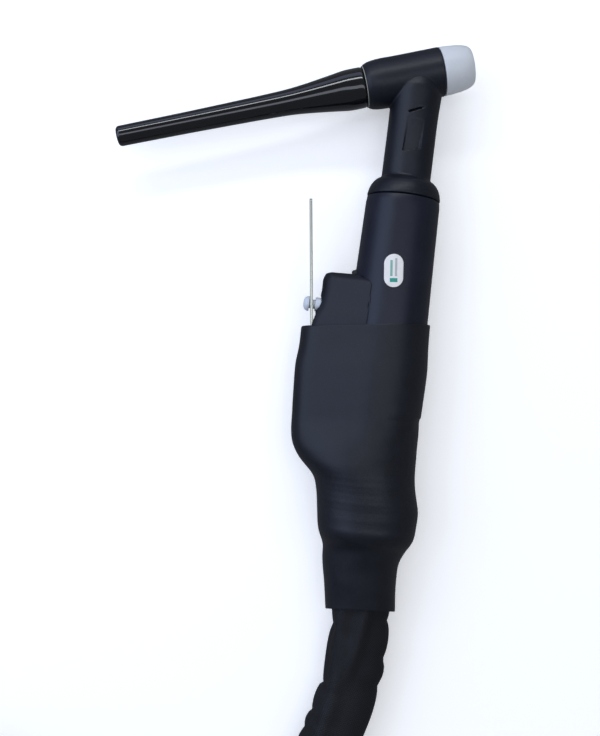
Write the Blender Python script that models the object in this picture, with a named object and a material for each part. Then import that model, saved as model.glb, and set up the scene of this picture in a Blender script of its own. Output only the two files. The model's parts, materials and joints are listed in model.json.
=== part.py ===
"""TIG welding torch with a lamella trigger and its coiled, water-cooled hose package.

The torch lies on its side. The handle runs along Y with the head at +Y, the nozzle points to +X and
leans towards +Y, the back cap points the other way, and Z is up. The floor is Z = 0. Lengths in the
constants and in the outlines are millimetres, and the helpers turn them into metres.
"""

import math

import bmesh
import bpy
from mathutils import Matrix, Vector

MM = 0.001
GAP = 0.3                      # clearance between pieces that touch

# Where the handle's axis meets the head's axis, and how far the nozzle leans from +X
DATUM = (51.76, 111.07, 19.5)
HEAD_LEAN = 18.4

# Head, measured along its own axis from the datum (positive towards the nozzle)
HEAD_RADIUS = 10.6
HEAD_REAR = -24.0
HEAD_FRONT = 9.9
CORE_RADIUS = 6.3
SEAT_RADIUS = 4.6
SEAT_DEPTH = 14.0
COLLET_RADIUS = 2.7
INSULATOR_FRONT = 23.6
INSULATOR_BORE = 6.6
CAP_FRONT = -24.6
CAP_TIP = -135.0
CAP_BORE = 2.6
CAP_TIP_RADIUS = 4.35
CAP_TIP_EDGE = 1.55

# Neck and handle, measured down the handle from the datum
NECK_RADIUS = 10.7
NECK_END = 45.9
SHOULDER_STEP = 5.3
SHOULDER_LENGTH = 8.2
SEAM = 54.6
SPIGOT_END = 64.0
SPIGOT_RADIUS = 13.2
HANDLE_END = 198.0
HANDLE_BORE = 13.6
HANDLE_RADII = ((53.0, 16.05), (83.0, 16.65), (107.0, 17.2), (149.0, 17.6), (205.0, 17.85))
LABEL_PLACE = (-1.8, 88.0)     # across, and down the handle
LABEL_RADIUS = 4.0
LABEL_STRAIGHT = 6.0
LABEL_LEAN = 6.0
CHANNEL_RADIUS = 8.3
BOSS_START = 3.3
BOSS_END = 14.0

# The three tubes of the head and the hoses pushed over them
TUBE_CIRCLE = 4.7
TUBE_RADIUS = 2.0
TUBE_WALL = 0.6
TUBE_END = 80.0
HOSE_RADIUS = 3.2
HOSE_START = 66.0
HOSE_END = 211.3
FERRULE_RADIUS = 3.85

# Switch boot: distance down the handle, and how far it stands out to -X
BOOT_OUTLINE = (
    (90.4, -27.4), (91.9, -28.7), (98.2, -29.6), (101.4, -30.4), (105.5, -31.4), (109.0, -33.1),
    (112.4, -34.0), (119.0, -35.5), (131.0, -36.2), (143.0, -35.7), (155.0, -34.9), (162.0, -33.8),
    (167.0, -31.8), (170.0, -28.0),
)
BOOT_EDGE_RADIUS = 8.2
BOOT_WING = 0.8
BOOT_WING_EDGE = -9.3
BOOT_WING_END = 110.0
BOOT_TUCK = 0.25               # the wing's thickness where the sleeve covers it
STUD_Y = -105.0
SWITCH_POCKET = ((-27.8, -118.6, -3.5), (-20.6, -97.4, 3.5))
WIRE_CHANNEL = ((-27.0, -175.0, -3.0), (-21.8, -118.0, 3.0))

# Lamella: a strip seen edge-on from above, and its press stud
LAMELLA_FOOT = (-32.2, -121.5)
LAMELLA_TOP = (-40.3, -59.6)
LAMELLA_PIVOT = (-32.66, -118.0)
LAMELLA_THICKNESS = 1.15
LAMELLA_WIDTH = 8.0

# Heat-shrink sleeve: distance down the handle, left edge, right edge
SLEEVE_OUTLINE = (
    (110.4, -36.3, 18.4), (119.0, -37.5, 18.8), (131.0, -38.2, 19.7), (143.0, -37.7, 19.5),
    (155.0, -36.9, 19.3), (161.0, -36.5, 19.3), (167.0, -35.0, 19.6), (173.0, -31.0, 19.8),
    (179.0, -24.6, 20.5), (185.0, -22.4, 22.0), (191.0, -21.3, 23.4), (197.0, -20.4, 23.2),
    (203.0, -19.2, 22.6), (209.0, -16.4, 19.6), (215.0, -15.9, 17.8), (227.0, -13.4, 18.2),
    (236.0, -11.6, 19.2),
)
SLEEVE_WALL = 0.9
SLEEVE_TOP = 19.8
SLEEVE_FLAT_FROM = 115.0       # past here the sleeve lies flat on the floor
SLEEVE_FRONT_SLANT = 0.128
SLEEVE_END_SLANT = 0.078
SLEEVE_BOOT_RADIUS = 9.6
SLEEVE_SPLIT = 179.0           # past here the sleeve holds the hoses only

# Hose package. Routes are (X, Y) from the datum and height above the floor
JACKET_RADIUS = 13.25
LEAD_ROUTE = (
    (1.0, -214.0, 16.9), (2.6, -225.0, 16.3), (3.9, -237.0, 15.5), (4.3, -250.0, 14.3),
    (4.1, -262.0, 13.6), (2.9, -273.0, 13.35), (0.6, -283.5, 13.35), (-1.8, -293.0, 13.35),
    (-5.0, -306.0, 13.35), (-9.0, -325.0, 13.4), (-12.8, -348.0, 13.6), (-16.0, -374.0, 14.0),
    (-18.0, -400.0, 14.4),
)
COIL_CENTRE = (-187.75, -501.5)
COIL_INNER = 128.5
COIL_OUTER = 181.5
COIL_BASE = 1.4                # the ties' webbing lies under the turns
COIL_HEIGHT = 53.0
COIL_CORNER = 7.5
TIE_THICKNESS = 1.1
TIE_WIDTH = 20.0
TIE_SLACK = 0.7                # the straight tie stands off the coil's curved inner side
TIE_ANGLES = (20.0, 88.0, 165.0, 262.0)
INNER_TURN_RADIUS = 112.4
INNER_TURN = (188.0, 120.0)    # degrees round the coil's centre, clockwise from above
CUFF_GAP = 0.9                 # degrees between the jacket and its end cuff
SPLITTER_END = 104.0

# Tails, in millimetres from the coil's centre and above the floor
POWER_TAIL_RADIUS = 6.5
GAS_TAIL_RADIUS = 4.5
WATER_TAIL_RADIUS = 5.0
CONTROL_TAIL_RADIUS = 3.0
OUTLET_PLACE = 36.0            # the water outlet, from the power tail's end
POWER_ROUTE = (
    (-26.8, 114.2, 7.2), (-10.0, 116.2, 6.7), (14.0, 112.5, 6.6), (36.0, 100.5, 6.6),
    (53.5, 80.5, 6.6), (63.5, 56.0, 7.2), (66.0, 38.0, 9.5), (66.0, 26.0, 12.6),
    (66.0, 18.0, 14.0), (66.0, 12.0, 14.3),
)
GAS_ROUTE = (
    (-26.5, 113.3, 18.8), (-9.0, 110.5, 17.2), (1.0, 105.0, 13.8), (11.0, 99.0, 9.4),
    (24.0, 87.0, 5.5), (34.0, 71.0, 4.6), (37.5, 50.0, 4.6), (38.0, 30.0, 5.8),
    (38.0, 12.0, 8.2), (38.0, -4.0, 9.8), (38.0, -14.0, 9.9),
)
WATER_ROUTE = (
    (-23.9, 102.9, 5.8), (-10.0, 101.0, 5.2), (3.0, 91.5, 5.1), (11.5, 75.0, 5.1),
    (14.0, 56.0, 5.1), (14.0, 36.0, 5.1), (14.0, 18.0, 5.6), (14.0, 2.0, 6.9),
    (14.0, -10.0, 7.5), (14.0, -20.0, 7.6),
)
CONTROL_ROUTE = (
    (-24.2, 104.0, 16.2), (-14.0, 101.5, 15.8), (-6.5, 94.0, 14.2), (-3.0, 82.0, 9.8),
    (-2.5, 67.0, 5.5), (-4.0, 51.0, 3.5), (-6.5, 35.0, 3.3), (-9.0, 18.0, 5.6),
    (-10.0, 4.0, 8.6), (-10.0, -8.0, 10.2), (-10.0, -16.0, 10.3),
)

MATERIALS = {}


def make_material(name, colour, roughness, metallic=0.0):
    """Adds one Principled finish under its name."""
    finish = bpy.data.materials.new(name)
    finish.use_nodes = True
    shader = finish.node_tree.nodes["Principled BSDF"]
    shader.inputs["Base Color"].default_value = (*colour, 1.0)
    shader.inputs["Roughness"].default_value = roughness
    shader.inputs["Metallic"].default_value = metallic
    MATERIALS[name] = finish


def make_materials():
    """Every finish on the torch and its hose package."""
    make_material("silicone_rubber", (0.021, 0.026, 0.036), 0.45)
    make_material("gloss_phenolic", (0.008, 0.007, 0.008), 0.12)
    make_material("white_ptfe", (0.60, 0.62, 0.66), 0.40)
    make_material("o_ring_rubber", (0.01, 0.01, 0.01), 0.5)
    make_material("brass", (0.66, 0.50, 0.22), 0.3, 1.0)
    make_material("copper", (0.72, 0.40, 0.27), 0.3, 1.0)
    make_material("handle_plastic", (0.021, 0.026, 0.036), 0.42)
    make_material("label_film", (0.76, 0.74, 0.71), 0.45)
    make_material("boot_rubber", (0.019, 0.022, 0.029), 0.55)
    make_material("switch_plastic", (0.03, 0.03, 0.035), 0.5)
    make_material("spring_steel", (0.60, 0.58, 0.46), 0.3, 1.0)
    make_material("stud_plastic", (0.26, 0.33, 0.39), 0.4)
    make_material("sleeve_rubber", (0.016, 0.019, 0.026), 0.5)
    make_material("jacket_textile", (0.015, 0.016, 0.02), 0.85)
    make_material("tie_webbing", (0.02, 0.02, 0.022), 0.9)
    make_material("hose_rubber", (0.02, 0.02, 0.022), 0.5)
    make_material("wire_pvc", (0.20, 0.20, 0.22), 0.5)
    make_material("plated_steel", (0.62, 0.62, 0.60), 0.3, 1.0)


def place(name, data, parent, finish, location=(0, 0, 0), rotation=(0, 0, 0)):
    """Links an object under its parent, at a place in millimetres and angles in degrees."""
    thing = bpy.data.objects.new(name, data)
    bpy.context.collection.objects.link(thing)
    thing.parent = parent
    thing.location = [value * MM for value in location]
    thing.rotation_euler = [math.radians(value) for value in rotation]
    data.materials.append(MATERIALS[finish])
    return thing


def add_empty(name, location, rotation=(0, 0, 0), parent=None):
    """A datum or a joint that other objects hang from."""
    empty = bpy.data.objects.new(name, None)
    bpy.context.collection.objects.link(empty)
    empty.parent = parent
    empty.location = [value * MM for value in location]
    empty.rotation_euler = [math.radians(value) for value in rotation]
    return empty


def to_mesh(name, shape, smooth_angle=35.0):
    """Closes a bmesh into a mesh with outward faces and smooth shading."""
    bmesh.ops.recalc_face_normals(shape, faces=shape.faces)
    mesh = bpy.data.meshes.new(name)
    shape.to_mesh(mesh)
    shape.free()
    mesh.shade_smooth()
    mesh.set_sharp_from_angle(angle=math.radians(smooth_angle))
    return mesh


def turned(name, outline, parent, finish, segments=32, location=(0, 0, 0), rotation=(0, 0, 0)):
    """A body turned round its local Z from (radius, height) points.

    An outline that ends on the axis makes a solid body, and any other outline closes into a ring.
    """
    shape = bmesh.new()
    points = [shape.verts.new((radius * MM, 0.0, height * MM)) for radius, height in outline]
    edges = [shape.edges.new(pair) for pair in zip(points, points[1:])]
    if min(radius for radius, height in outline) > 0:
        edges.append(shape.edges.new((points[-1], points[0])))
    bmesh.ops.spin(shape, geom=points + edges, cent=(0, 0, 0), axis=(0, 0, 1),
                   angle=math.tau, steps=segments, use_merge=True)
    bmesh.ops.remove_doubles(shape, verts=shape.verts, dist=1e-7)
    return place(name, to_mesh(name, shape), parent, finish, location, rotation)


def rod(name, radius, low, high, parent, finish, segments=24, location=(0, 0, 0), rotation=(0, 0, 0)):
    """A plain cylinder along its local Z."""
    outline = ((0, low), (radius, low), (radius, high), (0, high))
    return turned(name, outline, parent, finish, segments, location, rotation)


def pipe(name, inner, outer, low, high, parent, finish, segments=24, location=(0, 0, 0),
         rotation=(0, 0, 0)):
    """A plain tube along its local Z."""
    outline = ((inner, low), (outer, low), (outer, high), (inner, high))
    return turned(name, outline, parent, finish, segments, location, rotation)


def block(name, low, high, parent, finish, bevel=0.0, location=(0, 0, 0), rotation=(0, 0, 0)):
    """A box between two corners, with its edges rounded when a bevel is given."""
    shape = bmesh.new()
    bmesh.ops.create_cube(shape, size=1.0)
    size = [(top - bottom) * MM for bottom, top in zip(low, high)]
    centre = [(top + bottom) / 2 * MM for bottom, top in zip(low, high)]
    bmesh.ops.scale(shape, vec=size, verts=shape.verts)
    bmesh.ops.translate(shape, vec=centre, verts=shape.verts)
    if bevel:
        bmesh.ops.bevel(shape, geom=shape.edges[:], offset=bevel * MM, segments=2, profile=0.5,
                        affect="EDGES")
    return place(name, to_mesh(name, shape), parent, finish, location, rotation)


def lofted(name, rings, parent, finish, hollow=False, location=(0, 0, 0)):
    """Bridges rings of equal point counts; a hollow loft joins its last ring to its first."""
    shape = bmesh.new()
    loops = [[shape.verts.new(Vector(point) * MM) for point in ring] for ring in rings]
    pairs = list(zip(loops, loops[1:]))
    if hollow:
        pairs.append((loops[-1], loops[0]))
    else:
        shape.faces.new(loops[0])
        shape.faces.new(loops[-1])
    for first, second in pairs:
        for index in range(len(first)):
            after = (index + 1) % len(first)
            shape.faces.new((first[index], first[after], second[after], second[index]))
    bmesh.ops.triangulate(shape, faces=shape.faces)
    return place(name, to_mesh(name, shape), parent, finish, location)


def combine(target, tool, operation="DIFFERENCE"):
    """Joins a hidden tool to a target, or cuts it away."""
    tool.hide_render = True
    tool.display_type = "WIRE"
    step = target.modifiers.new(tool.name, "BOOLEAN")
    step.operation = operation
    step.solver = "EXACT"
    step.object = tool


def smooth_route(points, steps):
    """Points along a Catmull-Rom curve through a route's own points."""
    route = [Vector(point) for point in points]
    route = [route[0] * 2 - route[1]] + route + [route[-1] * 2 - route[-2]]
    curve = []
    for before, start, end, after in zip(route, route[1:], route[2:], route[3:]):
        for step in range(steps):
            t = step / steps
            curve.append(0.5 * (2 * start + (end - before) * t
                                + (2 * before - 5 * start + 4 * end - after) * t ** 2
                                + (3 * start - before - 3 * end + after) * t ** 3))
    curve.append(route[-2])
    return curve


def cable(name, points, radius, parent, finish, resolution=2, radii=None):
    """A round tube along points, with flat ends and an optional radius factor at each point."""
    curve = bpy.data.curves.new(name, "CURVE")
    curve.dimensions = "3D"
    curve.bevel_depth = radius * MM
    curve.bevel_resolution = resolution
    curve.use_fill_caps = True
    curve.render_resolution_u = 0
    spline = curve.splines.new("POLY")
    spline.points.add(len(points) - 1)
    for index, point in enumerate(points):
        spline.points[index].co = (*(Vector(point) * MM), 1.0)
        spline.points[index].radius = radii[index] if radii else 1.0
    return place(name, curve, parent, finish)


def handle_radius(distance):
    """The handle's outer radius at a distance down the handle."""
    for (low, small), (high, large) in zip(HANDLE_RADII, HANDLE_RADII[1:]):
        if distance <= high:
            return small + (large - small) * (distance - low) / (high - low)
    return HANDLE_RADII[-1][1]


def hull_point(circles, angle):
    """The furthest point in one direction of the outline that wraps circles (x, z, radius)."""
    across, up = math.cos(angle), math.sin(angle)
    x, z, radius = max(circles, key=lambda c: c[0] * across + c[1] * up + c[2])
    return x + radius * across, z + radius * up


def hull_section(circles, count):
    """Points round the outline that wraps several circles."""
    return [hull_point(circles, math.tau * (index + 0.5) / count) for index in range(count)]


def make_head(head, handle):
    """Rubber-covered T head, its metal core, the front insulator and the three tubes."""
    barrel = ((0, HEAD_REAR), (9.3, HEAD_REAR), (10.1, HEAD_REAR + 0.9), (10.6, HEAD_REAR + 2.4),
              (10.8, HEAD_REAR + 4.8), (HEAD_RADIUS, -10.0), (HEAD_RADIUS, HEAD_FRONT), (0, HEAD_FRONT))
    rubber = turned("head_rubber_body", barrel, head, "silicone_rubber", 32)
    shoulder = [(NECK_RADIUS + SHOULDER_STEP * math.sin(math.radians(a)),
                 NECK_END + SHOULDER_LENGTH * (1 - math.cos(math.radians(a)))) for a in (0, 25, 50, 75)]
    neck_outline = [(0, 0), (NECK_RADIUS - 0.2, 0), *shoulder, (16.05, SEAM),
                    (SPIGOT_RADIUS, SEAM), (SPIGOT_RADIUS, SPIGOT_END), (0, SPIGOT_END)]
    neck = turned("neck_union", neck_outline, handle, "silicone_rubber", 32)
    combine(rubber, neck, "UNION")
    core_space = rod("core_space", CORE_RADIUS + GAP, HEAD_REAR - 2, HEAD_FRONT + 2, head, "brass", 32)
    combine(rubber, core_space)
    channel = rod("tube_channel", CHANNEL_RADIUS, BOSS_START - GAP, SPIGOT_END + 2, handle, "brass", 32)
    combine(rubber, channel)
    recess = block("neck_recess", (-3.5, -34.9, 9.4), (3.9, -20.9, 14.0), head.parent, "brass")
    combine(rubber, recess)
    slit = block("neck_slit", (-3.3, -18.0, 9.9), (3.7, -16.6, 14.0), head.parent, "brass")
    combine(rubber, slit)

    core = rod("head_core", CORE_RADIUS, HEAD_REAR + 1.0, HEAD_FRONT, head, "brass", 32)
    boss = rod("core_boss", CHANNEL_RADIUS - GAP, BOSS_START, BOSS_END, handle, "brass", 32)
    combine(core, boss, "UNION")
    bore = ((0, HEAD_REAR - 2), (SEAT_RADIUS, HEAD_REAR - 2), (SEAT_RADIUS, -11.5),
            (COLLET_RADIUS, -11.5), (COLLET_RADIUS, HEAD_FRONT - SEAT_DEPTH),
            (SEAT_RADIUS, HEAD_FRONT - SEAT_DEPTH), (SEAT_RADIUS, HEAD_FRONT + 2), (0, HEAD_FRONT + 2))
    combine(core, turned("core_bore", bore, head, "brass", 32))

    insulator = ((INSULATOR_BORE, HEAD_FRONT + GAP), (HEAD_RADIUS, HEAD_FRONT + GAP), (10.3, 14.0),
                 (9.9, 18.0), (9.5, 20.0), (9.0, 21.6), (8.4, 22.8), (7.6, INSULATOR_FRONT),
                 (INSULATOR_BORE, INSULATOR_FRONT))
    turned("front_insulator", insulator, head, "white_ptfe", 32)


def make_tubes(handle):
    """Gas, water and power tubes, with their hoses and crimped ferrules inside the handle."""
    for index, medium in enumerate(("gas", "water_inlet", "power_return")):
        angle = math.radians(90 + 120 * index)
        spot = (TUBE_CIRCLE * math.cos(angle), TUBE_CIRCLE * math.sin(angle), 0)
        pipe(f"{medium}_tube", TUBE_RADIUS - TUBE_WALL, TUBE_RADIUS, BOSS_END + GAP, TUBE_END,
             handle, "copper", 12, spot)
        pipe(f"{medium}_hose", TUBE_RADIUS + GAP, HOSE_RADIUS, HOSE_START, HOSE_END, handle,
             "hose_rubber", 12, spot)
        pipe(f"{medium}_ferrule", HOSE_RADIUS + 0.2, FERRULE_RADIUS, HOSE_START + 1, HOSE_START + 9,
             handle, "brass", 12, spot)
    rod("power_conductor", 1.4, TUBE_END + GAP, HOSE_END, handle, "copper", 8, spot)


def make_cap(cap_axis):
    """Long back cap with its threaded insert and sealing ring; local Z points out of the head."""
    rear = -CAP_FRONT
    tip = -CAP_TIP
    taper = ((26.2, 8.75), (32.0, 8.7), (38.0, 7.9), (44.0, 7.1), (50.0, 6.35), (56.0, 5.75),
             (68.0, 5.25), (80.0, 5.0), (104.0, 4.65))
    nose = [(CAP_TIP_RADIUS - CAP_TIP_EDGE * (1 - math.cos(math.radians(a))),
             tip - CAP_TIP_EDGE * (1 - math.sin(math.radians(a)))) for a in (0, 30, 60, 90)]
    outline = [(0, tip - 4.0), (CAP_BORE, tip - 4.0), (CAP_BORE, rear + 7.0), (4.3, rear + 7.0),
               (4.3, rear), (8.35, rear), (8.7, rear + 0.5),
               *[(radius, height) for height, radius in taper], *nose, (0, tip)]
    turned("back_cap", outline, cap_axis, "gloss_phenolic", 24)
    insert = ((CAP_BORE, 12.2), (4.2, 12.2), (4.2, 20.0), (3.4, 20.0), (3.4, 22.4), (4.0, 22.4),
              (4.0, rear + 6.7), (CAP_BORE, rear + 6.7))
    turned("cap_thread_insert", insert, cap_axis, "brass", 16)
    ring = [(4.55 + 0.8 * math.cos(math.radians(a)), 23.7 + 0.55 * math.sin(math.radians(a)))
            for a in range(0, 360, 45)]
    ring = [(max(radius, 4.3), height) for radius, height in ring]
    turned("cap_o_ring", ring, cap_axis, "o_ring_rubber", 16)


def make_handle(handle, datum):
    """Tapered grip tube and its sticker."""
    outer = [(handle_radius(SEAM + GAP), SEAM + GAP)]
    outer += [(radius, distance) for distance, radius in HANDLE_RADII[1:-1]]
    outer += [(handle_radius(HANDLE_END - 1.5), HANDLE_END - 1.5),
              (handle_radius(HANDLE_END) - 1.2, HANDLE_END)]
    outline = [(HANDLE_BORE, SEAM + GAP), *outer, (HANDLE_BORE, HANDLE_END)]
    turned("handle_shell", outline, handle, "handle_plastic", 32)
    band = handle_radius(LABEL_PLACE[1])
    sticker = pipe("label_sticker", band + 0.4, band + 0.7, LABEL_PLACE[1] - 9.0, LABEL_PLACE[1] + 9.0,
                   handle, "label_film", 64)
    shape = bmesh.new()
    outline = []
    for centre, start in ((LABEL_STRAIGHT / 2, 0), (-LABEL_STRAIGHT / 2, 180)):
        for step in range(9):
            angle = math.radians(start + step * 22.5)
            outline.append((LABEL_RADIUS * math.cos(angle), centre + LABEL_RADIUS * math.sin(angle)))
    base = shape.faces.new([shape.verts.new((x * MM, y * MM, 10 * MM)) for x, y in outline])
    top = bmesh.ops.extrude_face_region(shape, geom=[base])
    moved = [item for item in top["geom"] if isinstance(item, bmesh.types.BMVert)]
    bmesh.ops.translate(shape, vec=(0, 0, 12 * MM), verts=moved)
    stadium = place("label_outline", to_mesh("label_outline", shape), datum, "label_film",
                    (LABEL_PLACE[0], -LABEL_PLACE[1], 0), (0, 0, LABEL_LEAN))
    combine(sticker, stadium, "INTERSECT")


def boot_section(distance, reach):
    """A crescent: round the housing's outer side, then back along the handle's surface."""
    inner = handle_radius(distance) + GAP
    outer = inner + (BOOT_WING if distance < BOOT_WING_END else BOOT_TUCK)
    edge = min(BOOT_EDGE_RADIUS, 2.2 + 3.0 * (distance - 89.0))
    circles = [(0, 0, outer), (reach + edge, 0, edge)]
    ring = []
    start = math.acos(BOOT_WING_EDGE / outer)
    for step in range(21):
        angle = start + (math.tau - 2 * start) * step / 20
        x, z = hull_point(circles, angle)
        ring.append((x, -distance, z))
    start = math.acos(BOOT_WING_EDGE / inner)
    for step in range(11):
        angle = math.tau - start - (math.tau - 2 * start) * step / 10
        ring.append((inner * math.cos(angle), -distance, inner * math.sin(angle)))
    return ring


def make_boot(datum):
    """Moulded switch boot that hugs the handle's -X side, open for the switch and its wires."""
    rings = [boot_section(distance, reach) for distance, reach in BOOT_OUTLINE]
    boot = lofted("switch_boot", rings, datum, "boot_rubber")
    slot = block("lamella_slot", (-1.5, -5.5, -4.4), (1.7, 10.5, 4.4), datum, "boot_rubber", 0.0,
                 (*LAMELLA_PIVOT, 0), (0, 0, lamella_lean()))
    combine(boot, slot)
    combine(boot, block("switch_pocket", *SWITCH_POCKET, datum, "boot_rubber"))
    combine(boot, block("wire_channel", *WIRE_CHANNEL, datum, "boot_rubber"))
    hole = ((0, -40.0), (3.9, -40.0), (3.9, -28.5), (1.7, -28.5), (1.7, -27.0), (0, -27.0))
    combine(boot, turned("stud_hole", hole, datum, "boot_rubber", 18, (0, STUD_Y, 0), (0, 90, 0)))


def lamella_lean():
    """How far the strip leans from +Y towards -X, in degrees."""
    return math.degrees(math.atan2(LAMELLA_FOOT[0] - LAMELLA_TOP[0], LAMELLA_TOP[1] - LAMELLA_FOOT[1]))


def make_switch(datum):
    """Micro-switch, its plunger, terminals and wires inside the boot."""
    low, high = SWITCH_POCKET
    low = [value + GAP for value in low]
    high = [value - GAP for value in high]
    body = block("microswitch_body", low, high, datum, "switch_plastic", 0.3)
    turn = (0, 90, 0)
    combine(body, rod("plunger_well", 1.6, -30.0, -25.4, datum, "switch_plastic", 16, (0, STUD_Y, 0), turn))
    rod("microswitch_plunger", 1.3, 0.0, 2.7, datum, "stud_plastic", 16, (-29.5, STUD_Y, 0), turn)
    for name, height in (("a", 1.6), ("b", -1.6)):
        block(f"switch_terminal_{name}", (-25.0, -122.0, height - 0.9), (-24.4, low[1] - GAP, height + 0.9),
              datum, "brass")
        wire = ((-24.7, -122.4, height), (-24.7, -165.0, height), (-23.8, -171.5, height),
                (-21.4, -178.0, height), (-19.4, -184.0, height), (-19.0, -191.0, height),
                (-18.7, -197.0, height), (-17.0, -203.0, height), (-13.0, -208.0, height),
                (-9.0, -211.3, height))
        cable(f"switch_wire_{name}", wire, 0.5, datum, "wire_pvc", 2)


def make_trigger(trigger):
    """Lamella strip and the stud pressed through it; the parent sits on the strip's pivot."""
    length = math.hypot(LAMELLA_TOP[0] - LAMELLA_FOOT[0], LAMELLA_TOP[1] - LAMELLA_FOOT[1])
    foot = math.hypot(LAMELLA_PIVOT[0] - LAMELLA_FOOT[0], LAMELLA_PIVOT[1] - LAMELLA_FOOT[1])
    half = LAMELLA_THICKNESS / 2
    lean = lamella_lean()
    stud_up = STUD_Y - LAMELLA_PIVOT[1]
    strip = block("lamella", (-half, -foot, -LAMELLA_WIDTH / 2), (half, length - foot, LAMELLA_WIDTH / 2),
                  trigger, "spring_steel", 0.25, (0, 0, 0), (0, 0, lean))
    hole = rod("lamella_hole", 2.3, -6.0, 6.0, trigger, "spring_steel", 20,
               (-stud_up * math.tan(math.radians(lean)), stud_up, 0), (0, 90, lean))
    combine(strip, hole)
    face = -38.0 - LAMELLA_PIVOT[0]
    outline = ((0, face), (1.6, face + 0.15), (2.7, face + 0.7), (3.25, face + 1.7), (3.25, face + 2.6),
               (2.0, face + 2.6), (2.0, face + 5.2), (3.1, face + 5.2), (3.1, face + 7.6),
               (2.7, face + 8.2), (0, face + 8.2))
    turned("press_stud", outline, trigger, "stud_plastic", 16, (0, stud_up, 0), (0, 90, 0))


def sleeve_ring(distance, left, right, inset, slant=0.0):
    """One section of the sleeve, drawn in by an inset, flat where it meets the floor."""
    if distance < SLEEVE_SPLIT:
        radius = right
        reach = left + SLEEVE_BOOT_RADIUS
        circles = [(0, 0, radius - inset), (reach, 0, SLEEVE_BOOT_RADIUS - inset)]
    else:
        radius = (right - left) / 2
        circles = [((left + right) / 2, 0, radius - inset)]
    top = SLEEVE_TOP if SLEEVE_FLAT_FROM < distance < SLEEVE_SPLIT else min(radius, SLEEVE_TOP)
    drop = max(DATUM[2] - top, 0.0) if distance >= SLEEVE_SPLIT else 0.0
    squash = (top - inset) / (radius - inset)
    floor = inset - DATUM[2]
    ring = []
    for x, z in hull_section(circles, 32):
        ring.append((x, -distance + slant * x, max(z * squash - drop, floor)))
    return ring


def make_sleeve(datum):
    """Heat-shrink sleeve over the handle, the boot and the start of the hose package."""
    last = len(SLEEVE_OUTLINE) - 1
    slants = {0: SLEEVE_FRONT_SLANT, last: SLEEVE_END_SLANT}
    outer = [sleeve_ring(*row, 0.0, slants.get(index, 0.0)) for index, row in enumerate(SLEEVE_OUTLINE)]
    inner = [sleeve_ring(*row, SLEEVE_WALL, slants.get(index, 0.0))
             for index, row in enumerate(SLEEVE_OUTLINE)]
    lofted("heat_shrink_sleeve", outer + inner[::-1], datum, "sleeve_rubber", hollow=True)


def ring_point(radius, degrees, height):
    """A point on a circle about the coil's centre."""
    angle = math.radians(degrees)
    return (radius * math.cos(angle), radius * math.sin(angle), height)


def make_jacket(ground, coil):
    """Textile-covered hose package: the lead from the sleeve, the coil and its inner end."""
    cable("cable_jacket_lead", smooth_route(LEAD_ROUTE, 2), JACKET_RADIUS, ground, "jacket_textile", 3)
    low = COIL_BASE
    high = COIL_BASE + COIL_HEIGHT
    cut = COIL_CORNER
    section = ((COIL_OUTER - cut, low), (COIL_OUTER, low + cut), (COIL_OUTER, high - cut),
               (COIL_OUTER - cut, high), (COIL_INNER + cut, high), (COIL_INNER, high - cut),
               (COIL_INNER, low + cut), (COIL_INNER + cut, low))
    turned("cable_jacket_coil", section, coil, "jacket_textile", 48)
    start, end = INNER_TURN
    count = 12
    turn = [ring_point(INNER_TURN_RADIUS, start + (end - start) * step / count, JACKET_RADIUS + 0.1)
            for step in range(count + 1)]
    cable("cable_jacket_inner", turn, JACKET_RADIUS, coil, "jacket_textile", 3)
    count = 7
    cuff = [ring_point(INNER_TURN_RADIUS - 0.6, end - CUFF_GAP + (SPLITTER_END - end + CUFF_GAP) * step / count, 14.2)
            for step in range(count + 1)]
    cable("jacket_splitter", cuff, 14.0, coil, "sleeve_rubber", 3, (0.96, 1.0, 1.0, 1.0, 1.0, 0.99, 0.97, 0.95))


def make_ties(coil):
    """Webbing ties round the coil; the coil stands on them."""
    inner = GAP
    outer = GAP + TIE_THICKNESS
    low = COIL_BASE
    high = COIL_BASE + COIL_HEIGHT
    for number, angle in enumerate(TIE_ANGLES, 1):
        rings = []
        for side, grow in ((-1, outer), (1, outer), (1, inner), (-1, inner)):
            cut = COIL_CORNER - 0.4 * grow
            left, right = COIL_INNER - TIE_SLACK - grow, COIL_OUTER + grow
            bottom, top = low - grow, high + grow
            loop = ((right - cut, bottom), (right, bottom + cut), (right, top - cut), (right - cut, top),
                    (left + cut, top), (left, top - cut), (left, bottom + cut), (left + cut, bottom))
            rings.append([(x, side * TIE_WIDTH / 2, z) for x, z in loop])
        tie = lofted(f"coil_tie_{number}", rings, coil, "tie_webbing", hollow=True)
        tie.rotation_euler = (0, 0, math.radians(angle))


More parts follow.
